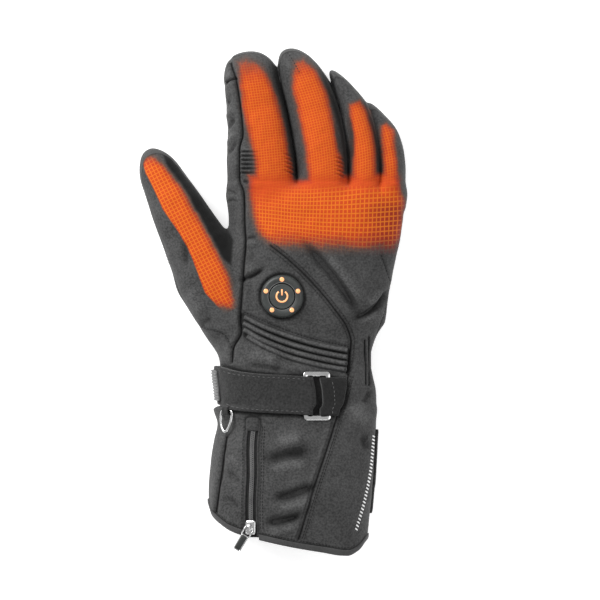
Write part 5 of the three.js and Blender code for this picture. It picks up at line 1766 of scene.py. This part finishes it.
for part in (hem_line[hem_line[:, 0] < zip_end - 6], hem_line[hem_line[:, 0] > zip_end + 6]):
    stitch_row(stitches, part[::6], 0.0)
stitches.make("seam_stitches", stitch_thread)
strap_stitches = Heap()
shares = np.linspace(-0.9, STRAP_FOLD - 0.05, 60)
for offset in (-STRAP_WIDTH / 2 + 1.9, STRAP_WIDTH / 2 - 1.9):
    y = -strap_along(shares) * CUFF_LENGTH + offset
    line = resample(np.stack([place(shares, y), y], axis=1), 0.5)
    for i in range(2, len(line) - 5, 6):
        spots = over(line[i:i + 4], GAP + STRAP_THICKNESS + 0.02)
        strap_stitches.tube(spots, 0.24 * np.array([0.5, 1, 1, 0.5]), 5)
anchor_y = ring_y + np.linspace(-STRAP_WIDTH / 2 + 1.5, STRAP_WIDTH / 2 - 1.5, 50)
line = np.stack([place(0.42, anchor_y), anchor_y], axis=1)
for i in range(0, 46, 6):
    strap_stitches.tube(over(line[i:i + 4], GAP + ANCHOR_THICKNESS), 0.22, 5)
strap_stitches.make("strap_stitch_rows", pale_thread)

# Reflective trim near the cuff's outer edge, as plain even bars
trim_line = resample(photo([(373.5, 436), (370.5, 468), (364.5, 498), (355, 531)]), 2.3)
bars = Heap()
for before, after in zip(trim_line[:-1], trim_line[1:]):
    ahead = (after - before) / np.linalg.norm(after - before)
    beside = np.array([-ahead[1], ahead[0]]) + 0.45 * ahead
    spots, ups = drop([before + beside * t for t in (-0.9, -0.45, 0, 0.45, 0.9)], 0.03)
    if len(spots) == 5:
        bars.tube(spots, 0.55, 6, flat=0.3, up=ups)
bars.make("reflective_bars", reflective)

# Floor, light and camera
GLOVE_MIDDLE = Vector((0, 0, 0.02))
FLOOR_HALF = 6.0
floor = bpy.data.meshes.new("floor")
floor_corners = [(-1, -1, 0), (1, -1, 0), (1, 1, 0), (-1, 1, 0)]
floor.from_pydata([tuple(FLOOR_HALF * c for c in p) for p in floor_corners], [], [(0, 1, 2, 3)])
floor_object = bpy.data.objects.new("floor", floor)
floor_object.location.z = -0.0002
bpy.context.scene.collection.objects.link(floor_object)
g = Graph("floor_white")
g.finish(Base_Color=g.mix(g.span(g.noise(3, 2), 0.3, 0.7), tone(0.9), tone(0.93)))
g.finish(Roughness=0.7, Emission_Color=tone(1), Emission_Strength=0.5)
floor.materials.append(g.material)

world = bpy.data.worlds.new("studio")
world.use_nodes = True
world.node_tree.nodes["Background"].inputs[0].default_value = (1, 1, 1, 1)
world.node_tree.nodes["Background"].inputs[1].default_value = 0.52
bpy.context.scene.world = world


def area_light(name, spot, side, power):
    """A square light, in watts, turned toward the glove."""
    light = bpy.data.lights.new(name, "AREA")
    light.shape = "SQUARE"
    light.size = side
    light.energy = power
    made = bpy.data.objects.new(name, light)
    made.location = spot
    made.rotation_euler = (GLOVE_MIDDLE - Vector(spot)).to_track_quat("-Z", "Y").to_euler()
    made.visible_camera = False
    bpy.context.scene.collection.objects.link(made)


area_light("key", (-1.0, 1.1, 0.85), 1.0, 36)
area_light("fill", (1.2, 0.1, 1.3), 1.2, 8)
area_light("rim", (0.1, -1.3, 0.8), 0.8, 4)
bpy.context.scene.view_settings.view_transform = "Standard"

LENS = 400
SENSOR = 36
AIM_HEIGHT = 0.022
view_width = PHOTO_SIZE * PIXEL / 1000
distance = view_width * LENS / SENSOR
aim = metres(np.append(photo([(PHOTO_SIZE / 2, PHOTO_SIZE / 2)])[0], 0))
camera = bpy.data.cameras.new("camera")
camera.lens = LENS
camera.sensor_width = SENSOR
camera.clip_end = 30
camera_object = bpy.data.objects.new("camera", camera)
camera_object.location = (aim[0], aim[1], AIM_HEIGHT + distance)
bpy.context.scene.collection.objects.link(camera_object)
bpy.context.scene.camera = camera_object
